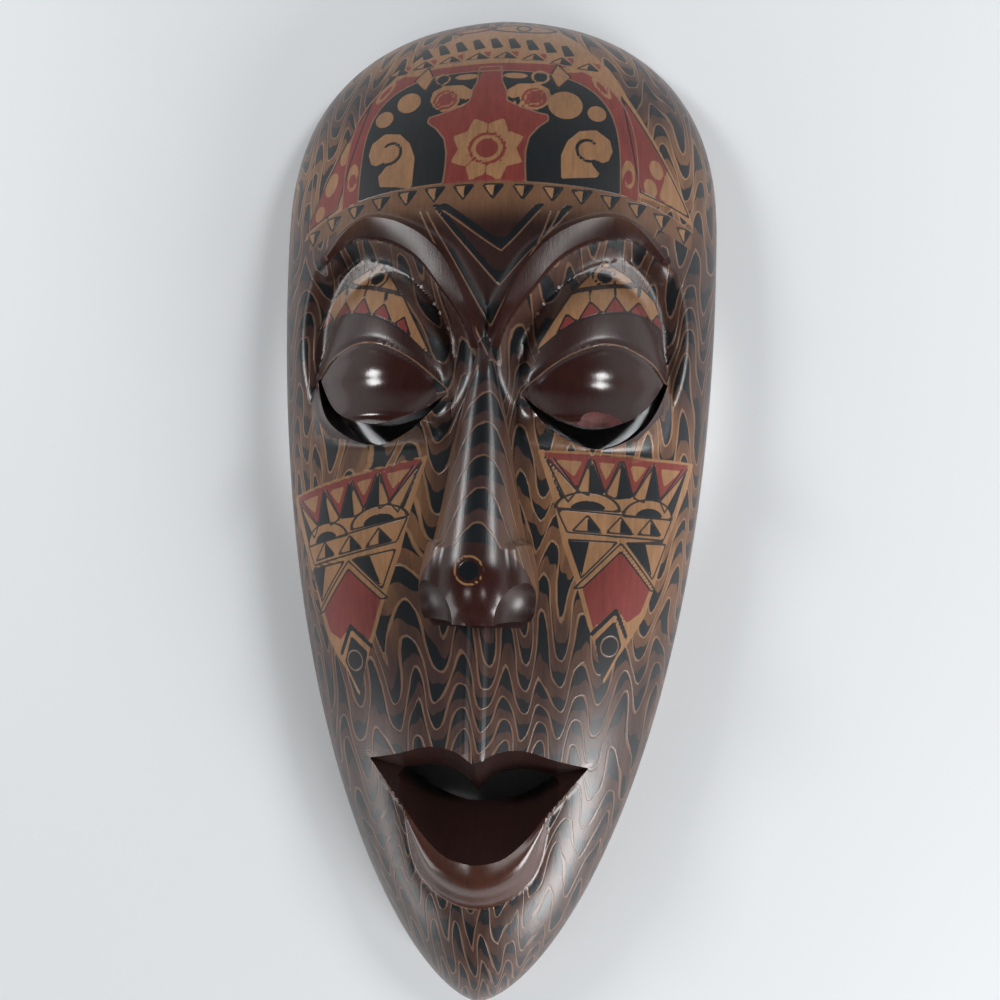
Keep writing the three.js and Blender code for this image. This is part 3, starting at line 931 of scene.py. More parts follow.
def archField(centre, halfWidth, foot, height, power):
    reach = np.abs((su - centre) / halfWidth) ** power + np.abs((sv - foot) / height) ** power
    field = (np.maximum(reach, 1e-9) ** (1 / power) - 1) * min(halfWidth, height)
    return np.minimum(field, fieldReach)


def paintPanelGround(aboveFoot):
    tanGround = [(-100, 123), (-60, 195), (-46, 212), (-30, 227), (-12, 240), (8, 248), (22, 246), (36, 232),
                 (54, 210), (62, 194), (101, 130), (84, 137), (60, 140), (0, 139.5), (-50, 138), (-78, 131)]
    paint("tan", polygon(tanGround))
    paint("brown", bothOf(bothOf(-aboveFoot, panelFoot(su) - 9.5 - sv), np.abs(su - 2) - 97))
    # outer red triangles with tan ovals
    for triangle in outerTriangles:
        paint("red", bothOf(polygon(triangle["corners"]), aboveFoot + 1.0), "first")
        if triangle["turn"] > 0:
            paint("tan", bothOf(polygon([(84, 158), (99, 134), (83, 139), (79, 141)]), aboveFoot + 1.6))
        for centre, radii in triangle["ovals"]:
            paint("tan", oval(centre, radii, triangle["turn"]))


def paintArches(outerArch, innerArch):
    # red side bands and the black lunette inside them
    paint("red", outerArch)
    drawTan(outerArch)
    for side in (-1, 1):
        u = panelAxis + side * 66.0
        paint("tan", oval((u, 149.5), (3.2, 7.5), side * 0.05))
        paint("red", oval((u, 148.0), (1.9, 3.6)))
        paint("tan", oval((panelAxis + side * 52.5, 196.5), (8.0, 2.6), -side * 0.95))
        paint("red", oval((panelAxis + side * 52.5, 196.5), (4.6, 1.2), -side * 0.95))
        paint("tan", polygon(fromAxis([(36, 209), (30, 203.5), (44, 205)], side)))
    paint("tan", bothOf(polygon([(-38, 211), (32, 212.5), (32, 208.8), (-38, 207.4)]), outerArch))
    paint("black", innerArch)
    drawTan(innerArch)


def paintVase(aboveFoot, innerArch):
    # vase, with a column up to the band
    vase = [(-8.6, 206), (-9.2, 196), (-11.5, 190), (-12.0, 184), (-18, 180.5), (-26, 177.6), (-31, 176.5),
            (-31.5, 173.5), (-27, 169.5), (-22.8, 163.5), (-21.4, 156), (-21.5, 148), (-22.2, 139)]
    outline = vase + [(2 * panelAxis - u - 1.0, v) for u, v in vase[::-1]]
    body = bothOf(polygon(outline), aboveFoot)
    paint("red", body)
    drawTan(body)
    paint("black", bothOf(polygon([(-7.5, 204), (-23, 203), (-23, 200.2), (-7.5, 198.5)]), innerArch))


def paintBeast(side, ring, dot):
    # head of a plain beast that faces the column: a ring, a brow and teeth
    head = [(28.5, 186), (27.5, 192), (22, 195), (13, 194.5), (8.2, 190.5), (8, 186.8), (11, 184.8),
            (14.5, 187.2), (15, 181.5), (22, 178.6)]
    jaw = [(15.6, 187.4), (8.6, 183.6), (16.5, 180.5), (19.5, 184)]
    paint("tan", polygon(fromAxis(head, side)))
    paint("black", polygon(fromAxis(jaw, side)))
    for tooth in range(3):
        start = 2.8 * tooth
        corners = [(10.5 + start, 181.6 - 0.9 * tooth), (13 + start, 180.8 - 0.9 * tooth),
                   (12 + start, 184.6 - 0.6 * tooth)]
        paint("tan", polygon(fromAxis(corners, side)))
    paintRings((panelAxis + side * 20.8, 186.2), [("tan", 7.0), ("red", 5.8), ("tan", 4.5), ("red", 3.5)])
    paintRings((panelAxis + side * 23.2, 199.4), [("tan", ring), ("black", dot)])
    paint("tan", oval((panelAxis + side * 11.5, 199.6), (6.0, 1.9)))
    kite = [(31, 209), (37.5, 201), (31.5, 192.5), (27.8, 201)]
    paint("tan", polygon(fromAxis(kite, side)), "second")


def paintWave(side, foot, aboveFoot):
    # curled wave at the foot of the lunette
    body = [(34, foot), (33.6, 155), (36.5, 163), (42, 169), (50, 170.6), (56.6, 166), (58, 160), (56, 154.6),
            (51.5, 152.6), (47.6, 154.2), (48.4, 151.6), (51.8, 147.6), (50.6, foot + 2.4)]
    paint("tan", bothOf(polygon(fromAxis(body, side)), aboveFoot))
    spiral = [(46.4 + r * math.cos(a), 159.6 + r * math.sin(a))
              for r, a in zip(np.linspace(4.6, 6.4, 15), np.linspace(0.9, 5.2, 15))]
    spiral += [(51.6, 153.6)]
    paint("black", stroke(fromAxis(spiral, side), 0.75))


def paintFlower(flower):
    # a red vein in each petal, and rings in the middle
    centre = flower["centre"]
    for k in range(flower["petals"]):
        turn = 2 * math.pi * (k + 0.5) / flower["petals"]
        c, s = math.cos(turn), math.sin(turn)
        for layer in ("tan", "red"):
            corners = [(centre[0] + p * c - q * s, centre[1] + p * s + q * c) for p, q in flower[layer]]
            paint(layer, polygon(corners))
    paintRings(centre, flower["rings"])


def paintRows():
    # hanging triangles under the panel, and two rows over the band
    for u in np.linspace(-92, 94, 15):
        top = float(panelFoot(u)) - 1.6
        paint("tan", polygon(shifted([(-4.8, 0), (4.8, 0), (0, -7.2)], u, top)), "first")
        paint("black", polygon(shifted([(0.6, 0), (4.8, 0), (0, -7.2)], u, top)))
    for u in np.linspace(-50, 43, 8):
        foot = 211.6 - 0.0019 * (u + 3) ** 2
        paint("tan", polygon(shifted([(-5.5, 0), (5.5, 0), (0.5, 5)], u, foot)), "second")
        paint("black", polygon(shifted([(-0.4, 0), (5.5, 0), (0.5, 5)], u, foot)))
        paint("red", polygon(shifted([(6.2, 5.6), (2.4, 5.6), (6.2, 0.8)], u, foot)))
    for u in np.linspace(-36, 33, 9):
        foot = 219.5 - 0.003 * (u + 2) ** 2
        paint("black", polygon(shifted([(-1.5, 0), (3.6, 1), (-0.4, 9.6), (-3.4, 8.6)], u, foot)))
        paint("tan", polygon(shifted([(3.6, 1), (5.6, 1), (1.8, 9.4), (-0.4, 9.6)], u, foot)))


def paintCrown():
    # an eye and two leaves
    paint("black", oval((11, 240), (16.5, 5.2)))
    paint("tan", oval((11, 240), (14.5, 3.9)))
    paintRings((11, 240.4), [("black", 3.9), ("tan", 2.7)])
    paint("red", oval((-14, 239.5), (10.5, 3.2), 0.1), "first")
    paint("tan", oval((-14, 239.5), (6.5, 1.4), 0.1))


def paintForehead():
    aboveFoot = panelFoot(su) - sv
    outerArch = bothOf(archField(panelAxis, 71.0, 137, 74.5, 3.1), aboveFoot)
    innerArch = bothOf(archField(panelAxis, 62.0, 139, 64.0, 3.4), aboveFoot)
    paintPanelGround(aboveFoot)
    paintArches(outerArch, innerArch)
    paintVase(aboveFoot, innerArch)
    for beast in beasts:
        paintBeast(**beast)
    for u, v, radius in ((-41.9, 187, 6.1), (-54, 179.2, 4.8), (32.4, 183.1, 8.2), (47.4, 180, 4.6)):
        paint("tan", disc((u, v), radius))
    for wave in waves:
        paintWave(aboveFoot=aboveFoot, **wave)
    paintFlower(flowerShape)
    drawTan(np.maximum(aboveFoot, np.abs(su - 2) - 98))
    paintRows()
    paintCrown()


paintForehead()
print("forehead painted")


# Bent lines between the brows, and plain wood along the brow ridges

bridgeBends = [
    {"tip": (5.3, 108.8), "arms": ((-23.5, 128.5), (25.5, 130.5)), "cap": 6.5},
    {"tip": (5.1, 92.3), "arms": ((-26.0, 128.5), (36.5, 128.5)), "cap": 7.5},
    {"tip": (2.2, 72.8), "arms": ((-17.0, 106.0), (14.5, 96.0)), "cap": 12.0},
    {"tip": (1.8, 59.6), "arms": ((-6.0, 75.0), (8.0, 76.0)), "cap": 9.0},
]


def paintBrows():
    global tanLines, bendLines
    signed, share = measureFrom(browLine, np.abs(vertexX), vertexY)
    above = limited(-signed)
    between = bothOf(above, polygon([(-62, 50), (62, 50), (62, 130), (-62, 130)]))
    paint("brown", between)
    upper = bothOf(above, polygon([(-86, 100), (-60, 100), (60, 100), (84, 100), (84, 140), (-86, 140)]))
    upper = bothOf(upper, sv - panelFoot(su) + 7.6)
    paint("brown", bothOf(upper, np.abs(su) - 76))
    region = limited(np.maximum(between + 1.2, sv - 127))
    tanLines = eraseLines(tanLines, region < 0)
    for bend in bridgeBends:
        tip = np.array(bend["tip"])
        arms = [tip + 9.0 * (np.array(arm) - tip) for arm in bend["arms"]]
        bendLines = exclusive(bendLines, polygon([tip, arms[1], arms[0]]))
    inside = bothOf(between, sv - 132)
    strokeLift = np.array((0.0, 2.6))
    for bend in bridgeBends:
        tip = np.array(bend["tip"])
        side = [tip + (np.array(arm) - tip) * 0.42 + (0, 1.0) for arm in bend["arms"]]
        capTop = tip[1] + bend["cap"]
        cap = [tip + (0, 1.0), side[1], (tip[0] + 2.0, capTop), (tip[0] - 2.0, capTop), side[0]]
        paint("black", bothOf(polygon(cap), inside))
        for arm in bend["arms"]:
            start, end = tip + strokeLift, np.array(arm) + strokeLift
            paint("black", bothOf(stroke([start, end], 1.25), inside))
    # the ridge itself is plain, and so is the strip over it
    bevel = browProfile(share)[1]
    ridge = limited(np.maximum(signed - 3.0, -signed - bevel - 0.5))
    ridge = bothOf(ridge, limited((0.05 - share) * 80))
    paint("brown", ridge)
    # light line along the crease over each closed eye
    lower = measureFrom(creaseLine, np.abs(vertexX), vertexY)[0]
    ball = np.maximum(lower, readCurve(lidEdgeLine, np.abs(vertexX)) - 3 - vertexY)
    ball = np.maximum(ball, np.abs(np.abs(vertexX) - 49) - 33)
    drawTan(limited(ball))
    return ridge, region


ridgeField, bendRegion = paintBrows()

# the end of the nose is plain, with one ringed wart
noseEnd = np.hypot(vertexX / 24, (vertexY + 43) / 23.5) - 1
paint("brown", limited(np.maximum(noseEnd * 22, -56.5 - vertexY)))
paintRings((-1.5, -30.5), [("tan", 6.0), ("brown", 5.2), ("black", 3.9)])


# Plain glossy lower lip

def lipArea():
    signed, share = measureFrom(lowerLipLine, np.abs(vertexX), vertexY)
    return limited(np.maximum(-signed - lipReach(share), signed - 3))


lipField = lipArea()
paint("brown", lipField)
drawTan(eraseLines(lipField, vertexX > 2))


# Looped grain that fills the rest: rounded folds in columns, black in each bend

loopShape = {
    "acrossPitch": 23.0,
    "alongPitch": 15.5,
    "rise": 13.5,
    "roundness": 1.3,
    "wander": 5.5,
    "skew": 3.4,
    "followEdge": 0.55,
    "noseRound": 7.0,
    "noseDrop": 11.0,
    "nosePitch": 13.8,
}


def softNoise(u, v, size, seed):
    # sum of sines in fixed directions
    rng = np.random.default_rng(seed)
    total = np.zeros(u.shape)
    for _ in range(7):
        turn = rng.uniform(0, 2 * math.pi)
        length = size * rng.uniform(0.7, 1.6)
        phase = rng.uniform(0, 2 * math.pi)
        total += np.sin(2 * math.pi * (u * math.cos(turn) + v * math.sin(turn)) / length + phase)
    return total / 7 ** 0.5


def loopGrain(u, v):
    wander, roundness = loopShape["wander"], loopShape["roundness"]
    widen = (maskWidth / 2 / np.maximum(halfWidthAt(vertexY), 25)) ** loopShape["followEdge"]
    across = u * widen + wander * softNoise(u, v, 130, 3) + 0.30 * wander * softNoise(u, v, 42, 4)
    turn = 2 * math.pi * across / loopShape["acrossPitch"]
    rise = loopShape["rise"] * (1 + 0.26 * softNoise(u, v, 70, 5)) * (1 - 0.25 * ease(-120, -200, v))
    along = v + 1.25 * wander * softNoise(u, v, 95, 6) + 0.30 * wander * softNoise(u, v, 30, 8)
    bend = np.sin(roundness * np.cos(turn)) / math.sin(roundness)
    along = along + loopShape["skew"] * softNoise(u, v, 60, 11) * np.sin(2 * turn)
    phase = (along + rise * bend) / loopShape["alongPitch"]
    bendSlope = np.cos(roundness * np.cos(turn)) * roundness / math.sin(roundness) * np.sin(turn)
    slope = rise * widen * 2 * math.pi / loopShape["acrossPitch"] * bendSlope
    return phase, np.cos(turn), np.sqrt(1 + slope ** 2) / loopShape["alongPitch"]


def noseGrain(x, y, z):
    top = domeAt(np.zeros(y.shape), y) + form["noseHeight"] * readCurve(noseRiseLine, y)
    shift = x - (2.0 + 0.03 * y)
    reach = np.abs(shift) + 0.8 * np.clip(top - z, 0, 40)
    stretch = np.sqrt(1 + (reach / loopShape["noseRound"]) ** 2)
    along = y + loopShape["noseDrop"] * (stretch - 1)
    along = along + 0.5 * softNoise(x, y, 30, 9)
    phase = (along - 2.8) / loopShape["nosePitch"]
    slope = loopShape["noseDrop"] * reach / (loopShape["noseRound"] ** 2 * stretch)
    bend = -np.clip(1.15 - (reach / 13.0) ** 2, -0.2, 1)
    return phase, bend, np.sqrt(1 + slope ** 2) / loopShape["nosePitch"]


def addAttribute(name, x, y, z):
    values = np.stack([x, y, z], -1).astype(np.float32)
    attribute = mesh.attributes.new(name, "FLOAT_VECTOR", "POINT")
    attribute.data.foreach_set("vector", values.ravel())


def lidBall():
    signed = measureFrom(creaseLine, np.abs(vertexX), vertexY)[0]
    ball = ((np.abs(vertexX) - 49) / 36) ** 2 + ((vertexY - 50) / 26) ** 2
    return ease(-0.3, 0.6, -signed) * (1 - ease(1.0, 1.15, ball))


def finishFields():
    gloss = np.maximum(lidBall(), 1 - ease(-0.5, 1.5, lipField))
    tip = (vertexX / 15) ** 2 + ((vertexY + 42) / 15) ** 2
    gloss = np.maximum(gloss, 0.9 * (1 - ease(0.7, 1.3, tip)))
    gloss = np.maximum(gloss, 0.4 * (1 - ease(-1.0, 1.5, ridgeField)))
    # warm wash round the painted panels, cooler towards the chin and the bridge
    warm = np.zeros(su.shape)
    washes = [((-66, -10), (52, 62)), ((66, -6), (52, 66)), ((0, 150), (150, 34)), ((-5, 225), (90, 26))]
    for centre, radii in washes:
        reach = np.hypot((su - centre[0]) / radii[0], (sv - centre[1]) / radii[1])
        warm = np.maximum(warm, 1 - ease(0.55, 1.25, reach))
    # distance below the foot of the forehead panel, where its wash runs out
    return gloss, warm, panelFoot(su) - sv


addAttribute("paintFields", layers["tan"], layers["red"], layers["black"])
addAttribute("lineFields", inkLines["first"], inkLines["second"], tanLines)
addAttribute("moreFields", inkLines["third"], ridgeField, lipField)
addAttribute("bendFields", bendLines, bendRegion, layers["brown"])
addAttribute("grainFields", *loopGrain(su, sv))
addAttribute("noseFields", *noseGrain(vertexX, vertexY, vertexZ))
addAttribute("finishFields", *finishFields())
print("paint laid out")


# Materials

paints = {
    "black": (0.008, 0.010, 0.012),
    "red": (0.165, 0.030, 0.024),
    "tan": (0.262, 0.136, 0.064),
    "ground": (0.048, 0.023, 0.017),
    "warmGround": (0.160, 0.072, 0.031),
    "violetGround": (0.043, 0.025, 0.025),
    "flow": (0.082, 0.040, 0.026),
    "warmFlow": (0.235, 0.118, 0.053),
    "line": (0.165, 0.088, 0.055),
    "warmLine": (0.275, 0.146, 0.072),
    "cut": (0.225, 0.126, 0.078),
    "plain": (0.030, 0.0125, 0.0105),
    "warmPlain": (0.165, 0.082, 0.042),
    "lacquered": (0.030, 0.0095, 0.0075),
    "lip": (0.080, 0.032, 0.021),
}


class NodeMaker:
    # short ways to add and join shader nodes
    def __init__(self, tree):
        self.tree = tree

    def add(self, kind, **settings):
        node = self.tree.nodes.new(kind)
        for key, value in settings.items():
            setattr(node, key, value)
        return node

    def plug(self, value, socket):
        if isinstance(value, bpy.types.NodeSocket):
            self.tree.links.new(value, socket)
        else:
            socket.default_value = value

    def math(self, operation, a, b=0.0):
        node = self.add("ShaderNodeMath", operation=operation)
        self.plug(a, node.inputs[0])
        self.plug(b, node.inputs[1])
        return node.outputs[0]

    def times(self, a, b):
        return self.math("MULTIPLY", a, b)

    def plus(self, a, b):
        return self.math("ADD", a, b)

    def minus(self, a, b):
        return self.math("SUBTRACT", a, b)

    def least(self, a, b):
        return self.math("MINIMUM", a, b)

    def most(self, a, b):
        return self.math("MAXIMUM", a, b)

    def absolute(self, a):
        return self.math("ABSOLUTE", a)

    def mix(self, share, a, b):
        node = self.add("ShaderNodeMix", data_type="RGBA")
        self.plug(share, node.inputs[0])
        for value, socket in ((a, node.inputs[6]), (b, node.inputs[7])):
            self.plug((*value, 1) if isinstance(value, tuple) else value, socket)
        return node.outputs[2]

    def step(self, value, low, high):
        # 1 below low, 0 above high
        node = self.add("ShaderNodeMapRange", interpolation_type="SMOOTHSTEP")
        self.plug(value, node.inputs[0])
        self.plug(low, node.inputs[1])
        self.plug(high, node.inputs[2])
        self.plug(1.0, node.inputs[3])
        self.plug(0.0, node.inputs[4])
        return node.outputs[0]

    def bump(self, height, strength, depth):
        node = self.add("ShaderNodeBump")
        self.plug(strength, node.inputs["Strength"])
        self.plug(depth, node.inputs["Distance"])
        self.plug(height, node.inputs["Height"])
        return node.outputs[0]

    def split(self, name):
        source = self.add("ShaderNodeAttribute", attribute_name=name)
        parts = self.add("ShaderNodeSeparateXYZ")
        self.tree.links.new(source.outputs["Vector"], parts.inputs[0])
        return parts.outputs

    def noise(self, scale, detail=3.0, stretch=(1, 1, 1), roughness=0.55):
        place = self.add("ShaderNodeTexCoord")
        mapping = self.add("ShaderNodeMapping")
        mapping.inputs["Scale"].default_value = stretch
        texture = self.add("ShaderNodeTexNoise")
        self.tree.links.new(place.outputs["Object"], mapping.inputs[0])
        self.tree.links.new(mapping.outputs[0], texture.inputs["Vector"])
        texture.inputs["Scale"].default_value = scale
        texture.inputs["Detail"].default_value = detail
        texture.inputs["Roughness"].default_value = roughness
        return texture.outputs[0]


def makeGroup(name, inputs, outputs):
    group = bpy.data.node_groups.new(name, "ShaderNodeTree")
    for label, kind in inputs:
        group.interface.new_socket(label, in_out="INPUT", socket_type=kind)
    for label, kind in outputs:
        group.interface.new_socket(label, in_out="OUTPUT", socket_type=kind)
    maker = NodeMaker(group)
    return group, maker, maker.add("NodeGroupInput").outputs, maker.add("NodeGroupOutput").inputs


def loopGroup():
    # black bends and light lines of the looped grain, from its phase, bend and steepness
    group, m, given, result = makeGroup(
        "looped_grain",
        [("Phase", "NodeSocketFloat"), ("Bend", "NodeSocketFloat"), ("Steepness", "NodeSocketFloat")],
        [("Black", "NodeSocketFloat"), ("Line", "NodeSocketFloat"), ("Flow", "NodeSocketFloat")])
    waver = m.times(m.minus(m.noise(160.0, 3.0), 0.5), 0.16)
    phase = m.math("FRACT", m.plus(given["Phase"], waver))
    toLine = m.least(phase, m.minus(1.0, phase))
    worn = m.times(m.noise(75.0, 4.0), 0.50)
    lineWidth = m.times(given["Steepness"], worn)
    soft = m.times(given["Steepness"], m.plus(worn, 0.34))
    m.plug(m.step(toLine, lineWidth, soft), result["Line"])
    # black lies against the inside of each bend and thins out along the steep runs
    bentness = m.absolute(given["Bend"])
    reach = m.times(m.math("POWER", bentness, 1.5), 0.58)
    arched = m.step(given["Bend"], -0.05, 0.05)
    inward = m.plus(m.times(arched, m.minus(1.0, phase)),
                    m.times(m.minus(1.0, arched), phase))
    edge = m.minus(inward, m.plus(reach, m.times(given["Steepness"], 0.55)))
    m.plug(m.step(edge, -0.02, 0.02), result["Black"])
    m.plug(m.step(bentness, 0.35, 0.85), result["Flow"])
    return group


def grainGroup():
    # fine wood fibres that run along the mask, with darker pores
    group, m, given, result = makeGroup(
        "wood_fibres",
        [("Amount", "NodeSocketFloat")],
        [("Shade", "NodeSocketFloat"), ("Height", "NodeSocketFloat")])
    fibres = m.noise(55.0, 5.0, (9.0, 1.0, 5.0), 0.65)
    clouds = m.noise(16.0, 3.0, (1.6, 1.0, 1.4))
    fine = m.noise(420.0, 2.0, (3.5, 0.6, 2.0))
    shade = m.plus(m.times(m.minus(fibres, 0.5), 1.2),
                   m.times(m.minus(clouds, 0.5), 1.3))
    shade = m.plus(shade, m.times(m.minus(fine, 0.5), 0.45))
    m.plug(m.plus(1.0, m.times(shade, given["Amount"])), result["Shade"])
    m.plug(m.plus(m.times(fibres, 0.7), m.times(fine, 0.3)), result["Height"])
    return group


groups = {"loops": loopGroup(), "fibres": grainGroup()}


def placeGroup(m, name, **inputs):
    node = m.add("ShaderNodeGroup", node_tree=groups[name])
    for label, value in inputs.items():
        m.plug(value, node.inputs[label])
    return node.outputs


def startMaterial(name):
    material = bpy.data.materials[name]
    material.use_nodes = True
    tree = material.node_tree
    tree.nodes.clear()
    maker = NodeMaker(tree)
    shader = maker.add("ShaderNodeBsdfPrincipled")
    output = maker.add("ShaderNodeOutputMaterial")
    tree.links.new(shader.outputs[0], output.inputs[0])
    return maker, shader.inputs


def shaded(m, colour, shade):
    node = m.add("ShaderNodeMix", data_type="RGBA", blend_type="MULTIPLY")
    node.inputs[0].default_value = 1.0
    m.plug(colour, node.inputs[6])
    combined = m.add("ShaderNodeCombineColor")
    for socket in combined.inputs:
        m.plug(shade, socket)
    m.plug(combined.outputs[0], node.inputs[7])
    return node.outputs[2]


lacquer = {
    "roughness": 0.25,
    "haze": 0.12,           # added where the noise is high
    "polish": 0.13,         # taken away where the gloss is full
    "bump": 0.30,
    "bumpDepth": 0.0003,
    "shine": 0.5,
    "browDulling": 0.28,
}


def paintedFinish(name, grainName):
    m, shader = startMaterial(name)
    tanField, redField, blackField = m.split("paintFields")
    firstInk, secondInk, tanLine = m.split("lineFields")
    thirdInk, ridge, lip = m.split("moreFields")
    phase, bend, steepness = m.split(grainName)
    gloss, warm, wash = m.split("finishFields")
    bendLine, bendArea, brownField = m.split("bendFields")
    loops = placeGroup(m, "loops", Phase=phase, Bend=bend, Steepness=steepness)
    fibres = placeGroup(m, "fibres", Amount=0.75)

    nearest = m.least(m.least(tanField, redField), m.least(blackField, brownField))
    openMask = m.step(nearest, -0.20, 0.10)          # 1 where something is painted
    ground = m.mix(warm, paints["ground"], paints["warmGround"])
    patches = m.noise(14.0, 3.0)
    ground = m.mix(m.times(m.step(patches, 0.40, 0.62), 0.55), ground, paints["violetGround"])
    ground = m.mix(m.times(loops["Flow"], 0.45), ground, m.mix(warm, paints["flow"], paints["warmFlow"]))
    loopBlack = m.times(loops["Black"], m.minus(1.0, openMask))
    loopLine = m.times(loops["Line"], m.minus(1.0, openMask))
    colour = m.mix(loopBlack, ground, paints["black"])
    colour = m.mix(m.times(loopLine, 0.85), colour, m.mix(warm, paints["line"], paints["warmLine"]))
    plain = m.mix(m.times(m.step(wash, 6.0, 21.0), 0.85), paints["plain"], paints["warmPlain"])
    plain = m.mix(gloss, plain, paints["lacquered"])
    colour = m.mix(m.step(brownField, -0.10, 0.30), colour, plain)
    for field, layer in ((tanField, "tan"), (redField, "red"), (blackField, "black")):
        colour = m.mix(m.step(field, -0.10, 0.22), colour, paints[layer])
    toInk = m.least(m.least(m.absolute(firstInk), m.absolute(secondInk)), m.absolute(thirdInk))
    ink = m.step(toInk, 0.28, 0.55)
    colour = m.mix(m.times(ink, 0.92), colour, paints["black"])
    # cut lines, worn away here and there; those between the brows only show in their own area
    wear = m.times(m.noise(95.0, 2.0), 0.28)
    cut = m.step(m.plus(m.absolute(tanLine), wear), 0.34, 0.66)
    bends = m.step(m.plus(m.absolute(bendLine), wear), 0.34, 0.66)
    cut = m.most(cut, m.times(bends, m.math("LESS_THAN", bendArea, 0.0)))
    colour = m.mix(m.times(cut, 0.72), colour, paints["cut"])
    colour = m.mix(m.times(m.math("LESS_THAN", lip, 0.0), 0.6), colour, paints["lip"])
    colour = shaded(m, colour, fibres["Shade"])
    m.plug(colour, shader["Base Color"])

    haze = m.noise(9.0, 2.0)
    rough = m.plus(lacquer["roughness"], m.times(haze, lacquer["haze"]))
    rough = m.minus(rough, m.times(gloss, lacquer["polish"]))
    m.plug(rough, shader["Roughness"])
    height = m.times(fibres["Height"], m.minus(1.0, m.times(gloss, 0.7)))
    groove = m.most(m.most(loopLine, cut), m.times(ink, 0.6))
    height = m.minus(height, m.times(groove, 0.9))
    m.plug(m.bump(height, lacquer["bump"], lacquer["bumpDepth"]), shader["Normal"])
    onBrow = m.math("LESS_THAN", ridge, 0.3)
    shine = m.minus(lacquer["shine"], m.times(onBrow, lacquer["browDulling"]))
    m.plug(shine, shader["Specular IOR Level"])


woods = {
    "dark_stain": {"colour": (0.028, 0.011, 0.009), "amount": 0.6, "roughness": 0.30, "bumpStrength": 0.25},
    "back_wood": {"colour": (0.20, 0.115, 0.065), "amount": 0.9, "roughness": 0.62, "bumpStrength": 0.6},
    "raw_wood": {"colour": (0.13, 0.036, 0.032), "amount": 0.9, "roughness": 0.55, "bumpStrength": 0.9},
}
woodBumpDepth = 0.0004


def woodFinish(name, colour, amount, roughness, bumpStrength):
    m, shader = startMaterial(name)
    fibres = placeGroup(m, "fibres", Amount=amount)
    darker = tuple(0.72 * part for part in colour)
    m.plug(shaded(m, m.mix(m.noise(22.0), colour, darker), fibres["Shade"]), shader["Base Color"])
    m.plug(m.plus(roughness, m.times(m.noise(30.0), 0.12)), shader["Roughness"])
    m.plug(m.bump(fibres["Height"], bumpStrength, woodBumpDepth), shader["Normal"])


paintedFinish("painted_face", "grainFields")
paintedFinish("painted_nose", "noseFields")
for woodName, settings in woods.items():
    woodFinish(woodName, **settings)
print("materials made")

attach(mask, "root")
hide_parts("carved_mask")


# Floor and light

def addFloor():
    size = 3.0
    floorMesh = bpy.data.meshes.new("floor")
    half = size / 2
    corners = [(-half, -half, 0), (half, -half, 0), (half, half, 0), (-half, half, 0)]
    floorMesh.from_pydata(corners, [], [(0, 1, 2, 3)])
    floor = bpy.data.objects.new("floor", floorMesh)
    material = bpy.data.materials.new("white_floor")
    material.use_nodes = True
    shader = material.node_tree.nodes["Principled BSDF"].inputs
    shader["Base Color"].default_value = (0.80, 0.82, 0.84, 1)
    shader["Roughness"].default_value = 0.75
    floorMesh.materials.append(material)
    bpy.context.scene.collection.objects.link(floor)


def placeLamp(name, lamp, place, aim, power):
    lamp.energy = power
    light = bpy.data.objects.new(name, lamp)
    light.location = place
    light.rotation_mode = "QUATERNION"
    light.rotation_quaternion = (Vector(aim) - Vector(place)).to_track_quat("-Z", "Y")
    bpy.context.scene.collection.objects.link(light)
    return light


def addLight(name, place, aim, size, power):
    lamp = bpy.data.lights.new(name, "AREA")
    lamp.size = size
    placeLamp(name, lamp, place, aim, power)


def addSpot(name, place, aim, angle, size, power, lit):
    # lamp over the closed eyes that only lights the table seen through their slits
    lamp = bpy.data.lights.new(name, "SPOT")
    lamp.spot_size = angle
    lamp.spot_blend = 0.45
    lamp.shadow_soft_size = size
    placeLamp(name, lamp, place, aim, power).light_linking.receiver_collection = lit


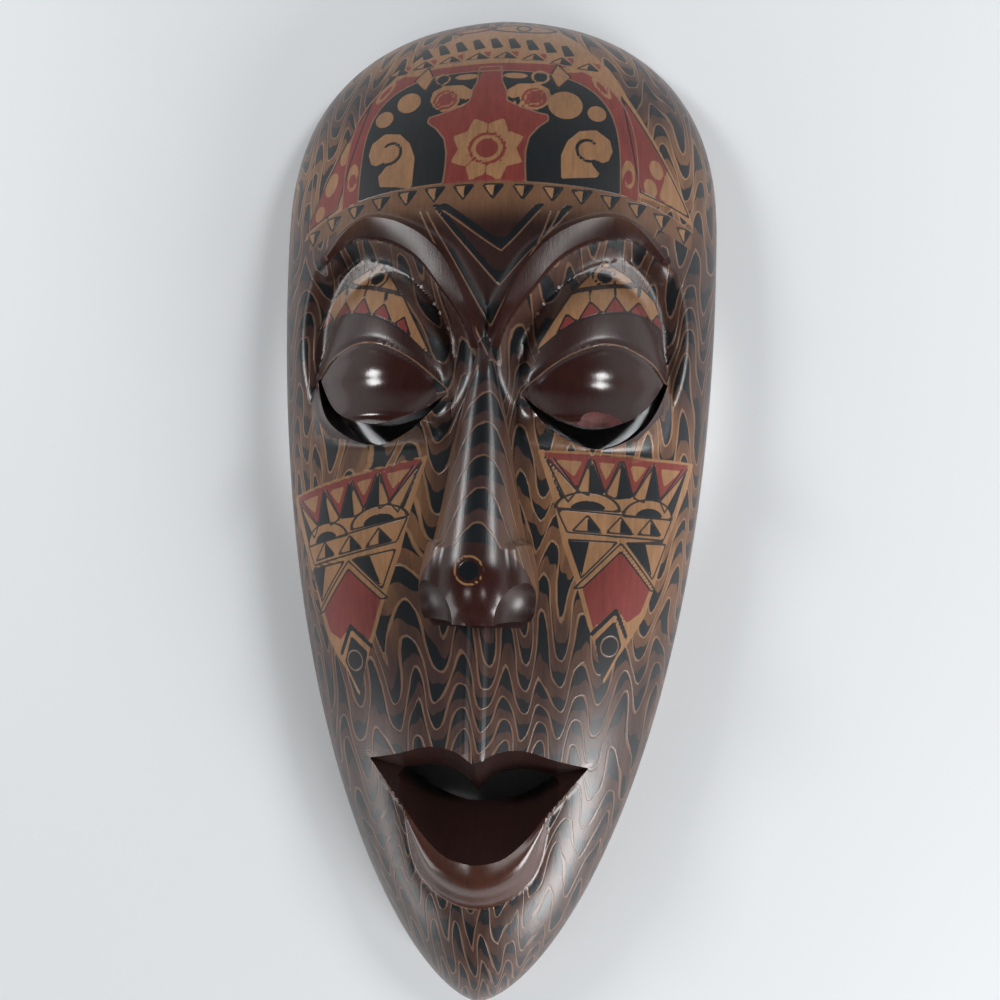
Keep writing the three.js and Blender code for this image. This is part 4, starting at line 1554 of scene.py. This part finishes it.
studio = {
    "left_box": {"place": (-0.84, 0.44, 0.68), "aim": (0, 0, 0.05), "size": 0.26, "power": 5.2},
    "right_box": {"place": (0.78, 0.48, 0.80), "aim": (0, 0, 0.05), "size": 0.26, "power": 5.6},
    "left_lamp": {"place": (-0.24, -0.62, 0.9), "aim": (0, 0, 0.05), "size": 0.12, "power": 0.35},
    "right_lamp": {"place": (0.26, -0.62, 0.9), "aim": (0, 0, 0.05), "size": 0.12, "power": 0.35},
    "right_window": {"place": (1.0, -1.1, 0.45), "aim": (0, 0, 0.05), "size": 0.7, "power": 22.0},
    "left_window": {"place": (-1.0, -1.0, 0.40), "aim": (0, 0, 0.05), "size": 0.7, "power": 4.5},
}
spots = {
    "left_spot": {"place": (-0.11, 0.10, 0.9), "aim": (0, 0.05, 0.03)},
    "right_spot": {"place": (0.11, 0.10, 0.9), "aim": (0, 0.05, 0.03)},
}
spotShape = {"angle": 0.22, "size": 0.04, "power": 24.0}
roomLight = {
    "colour": (0.93, 0.97, 1.0, 1),
    "horizon": 0.66,
    "overhead": 0.05,
    "lowEdge": 0.20,        # sine of the height where the bright band starts to fade
    "highEdge": 0.66,
    "dimmed": 0.80,         # share taken away on the side where the photographer stands
}


def addRoomLight(room):
    # a pale room: bright walls low down all round, and a dim ceiling
    world = bpy.data.worlds.new("studio")
    bpy.context.scene.world = world
    world.use_nodes = True
    m = NodeMaker(world.node_tree)
    background = world.node_tree.nodes["Background"].inputs
    place = m.add("ShaderNodeTexCoord")
    parts = m.add("ShaderNodeSeparateXYZ")
    world.node_tree.links.new(place.outputs["Generated"], parts.inputs[0])
    wall = m.step(parts.outputs[2], room["lowEdge"], room["highEdge"])
    level = m.plus(room["overhead"], m.times(wall, room["horizon"] - room["overhead"]))
    toViewer = m.step(parts.outputs[1], -0.85, -0.35)
    middle = m.step(m.absolute(parts.outputs[0]), 0.25, 0.70)
    raised = m.minus(1.0, m.step(parts.outputs[2], 0.0, 0.12))
    figure = m.times(m.times(toViewer, middle), m.times(raised, room["dimmed"]))
    level = m.times(level, m.minus(1.0, figure))
    background["Color"].default_value = room["colour"]
    m.plug(level, background["Strength"])


addFloor()
for lightName, settings in studio.items():
    addLight(lightName, **settings)
tableOnly = bpy.data.collections.new("table_only")
tableOnly.objects.link(bpy.data.objects["floor"])
for spotName, settings in spots.items():
    addSpot(spotName, lit=tableOnly, **spotShape, **settings)
addRoomLight(roomLight)
bpy.context.scene.view_settings.view_transform = "Standard"
print("light set")
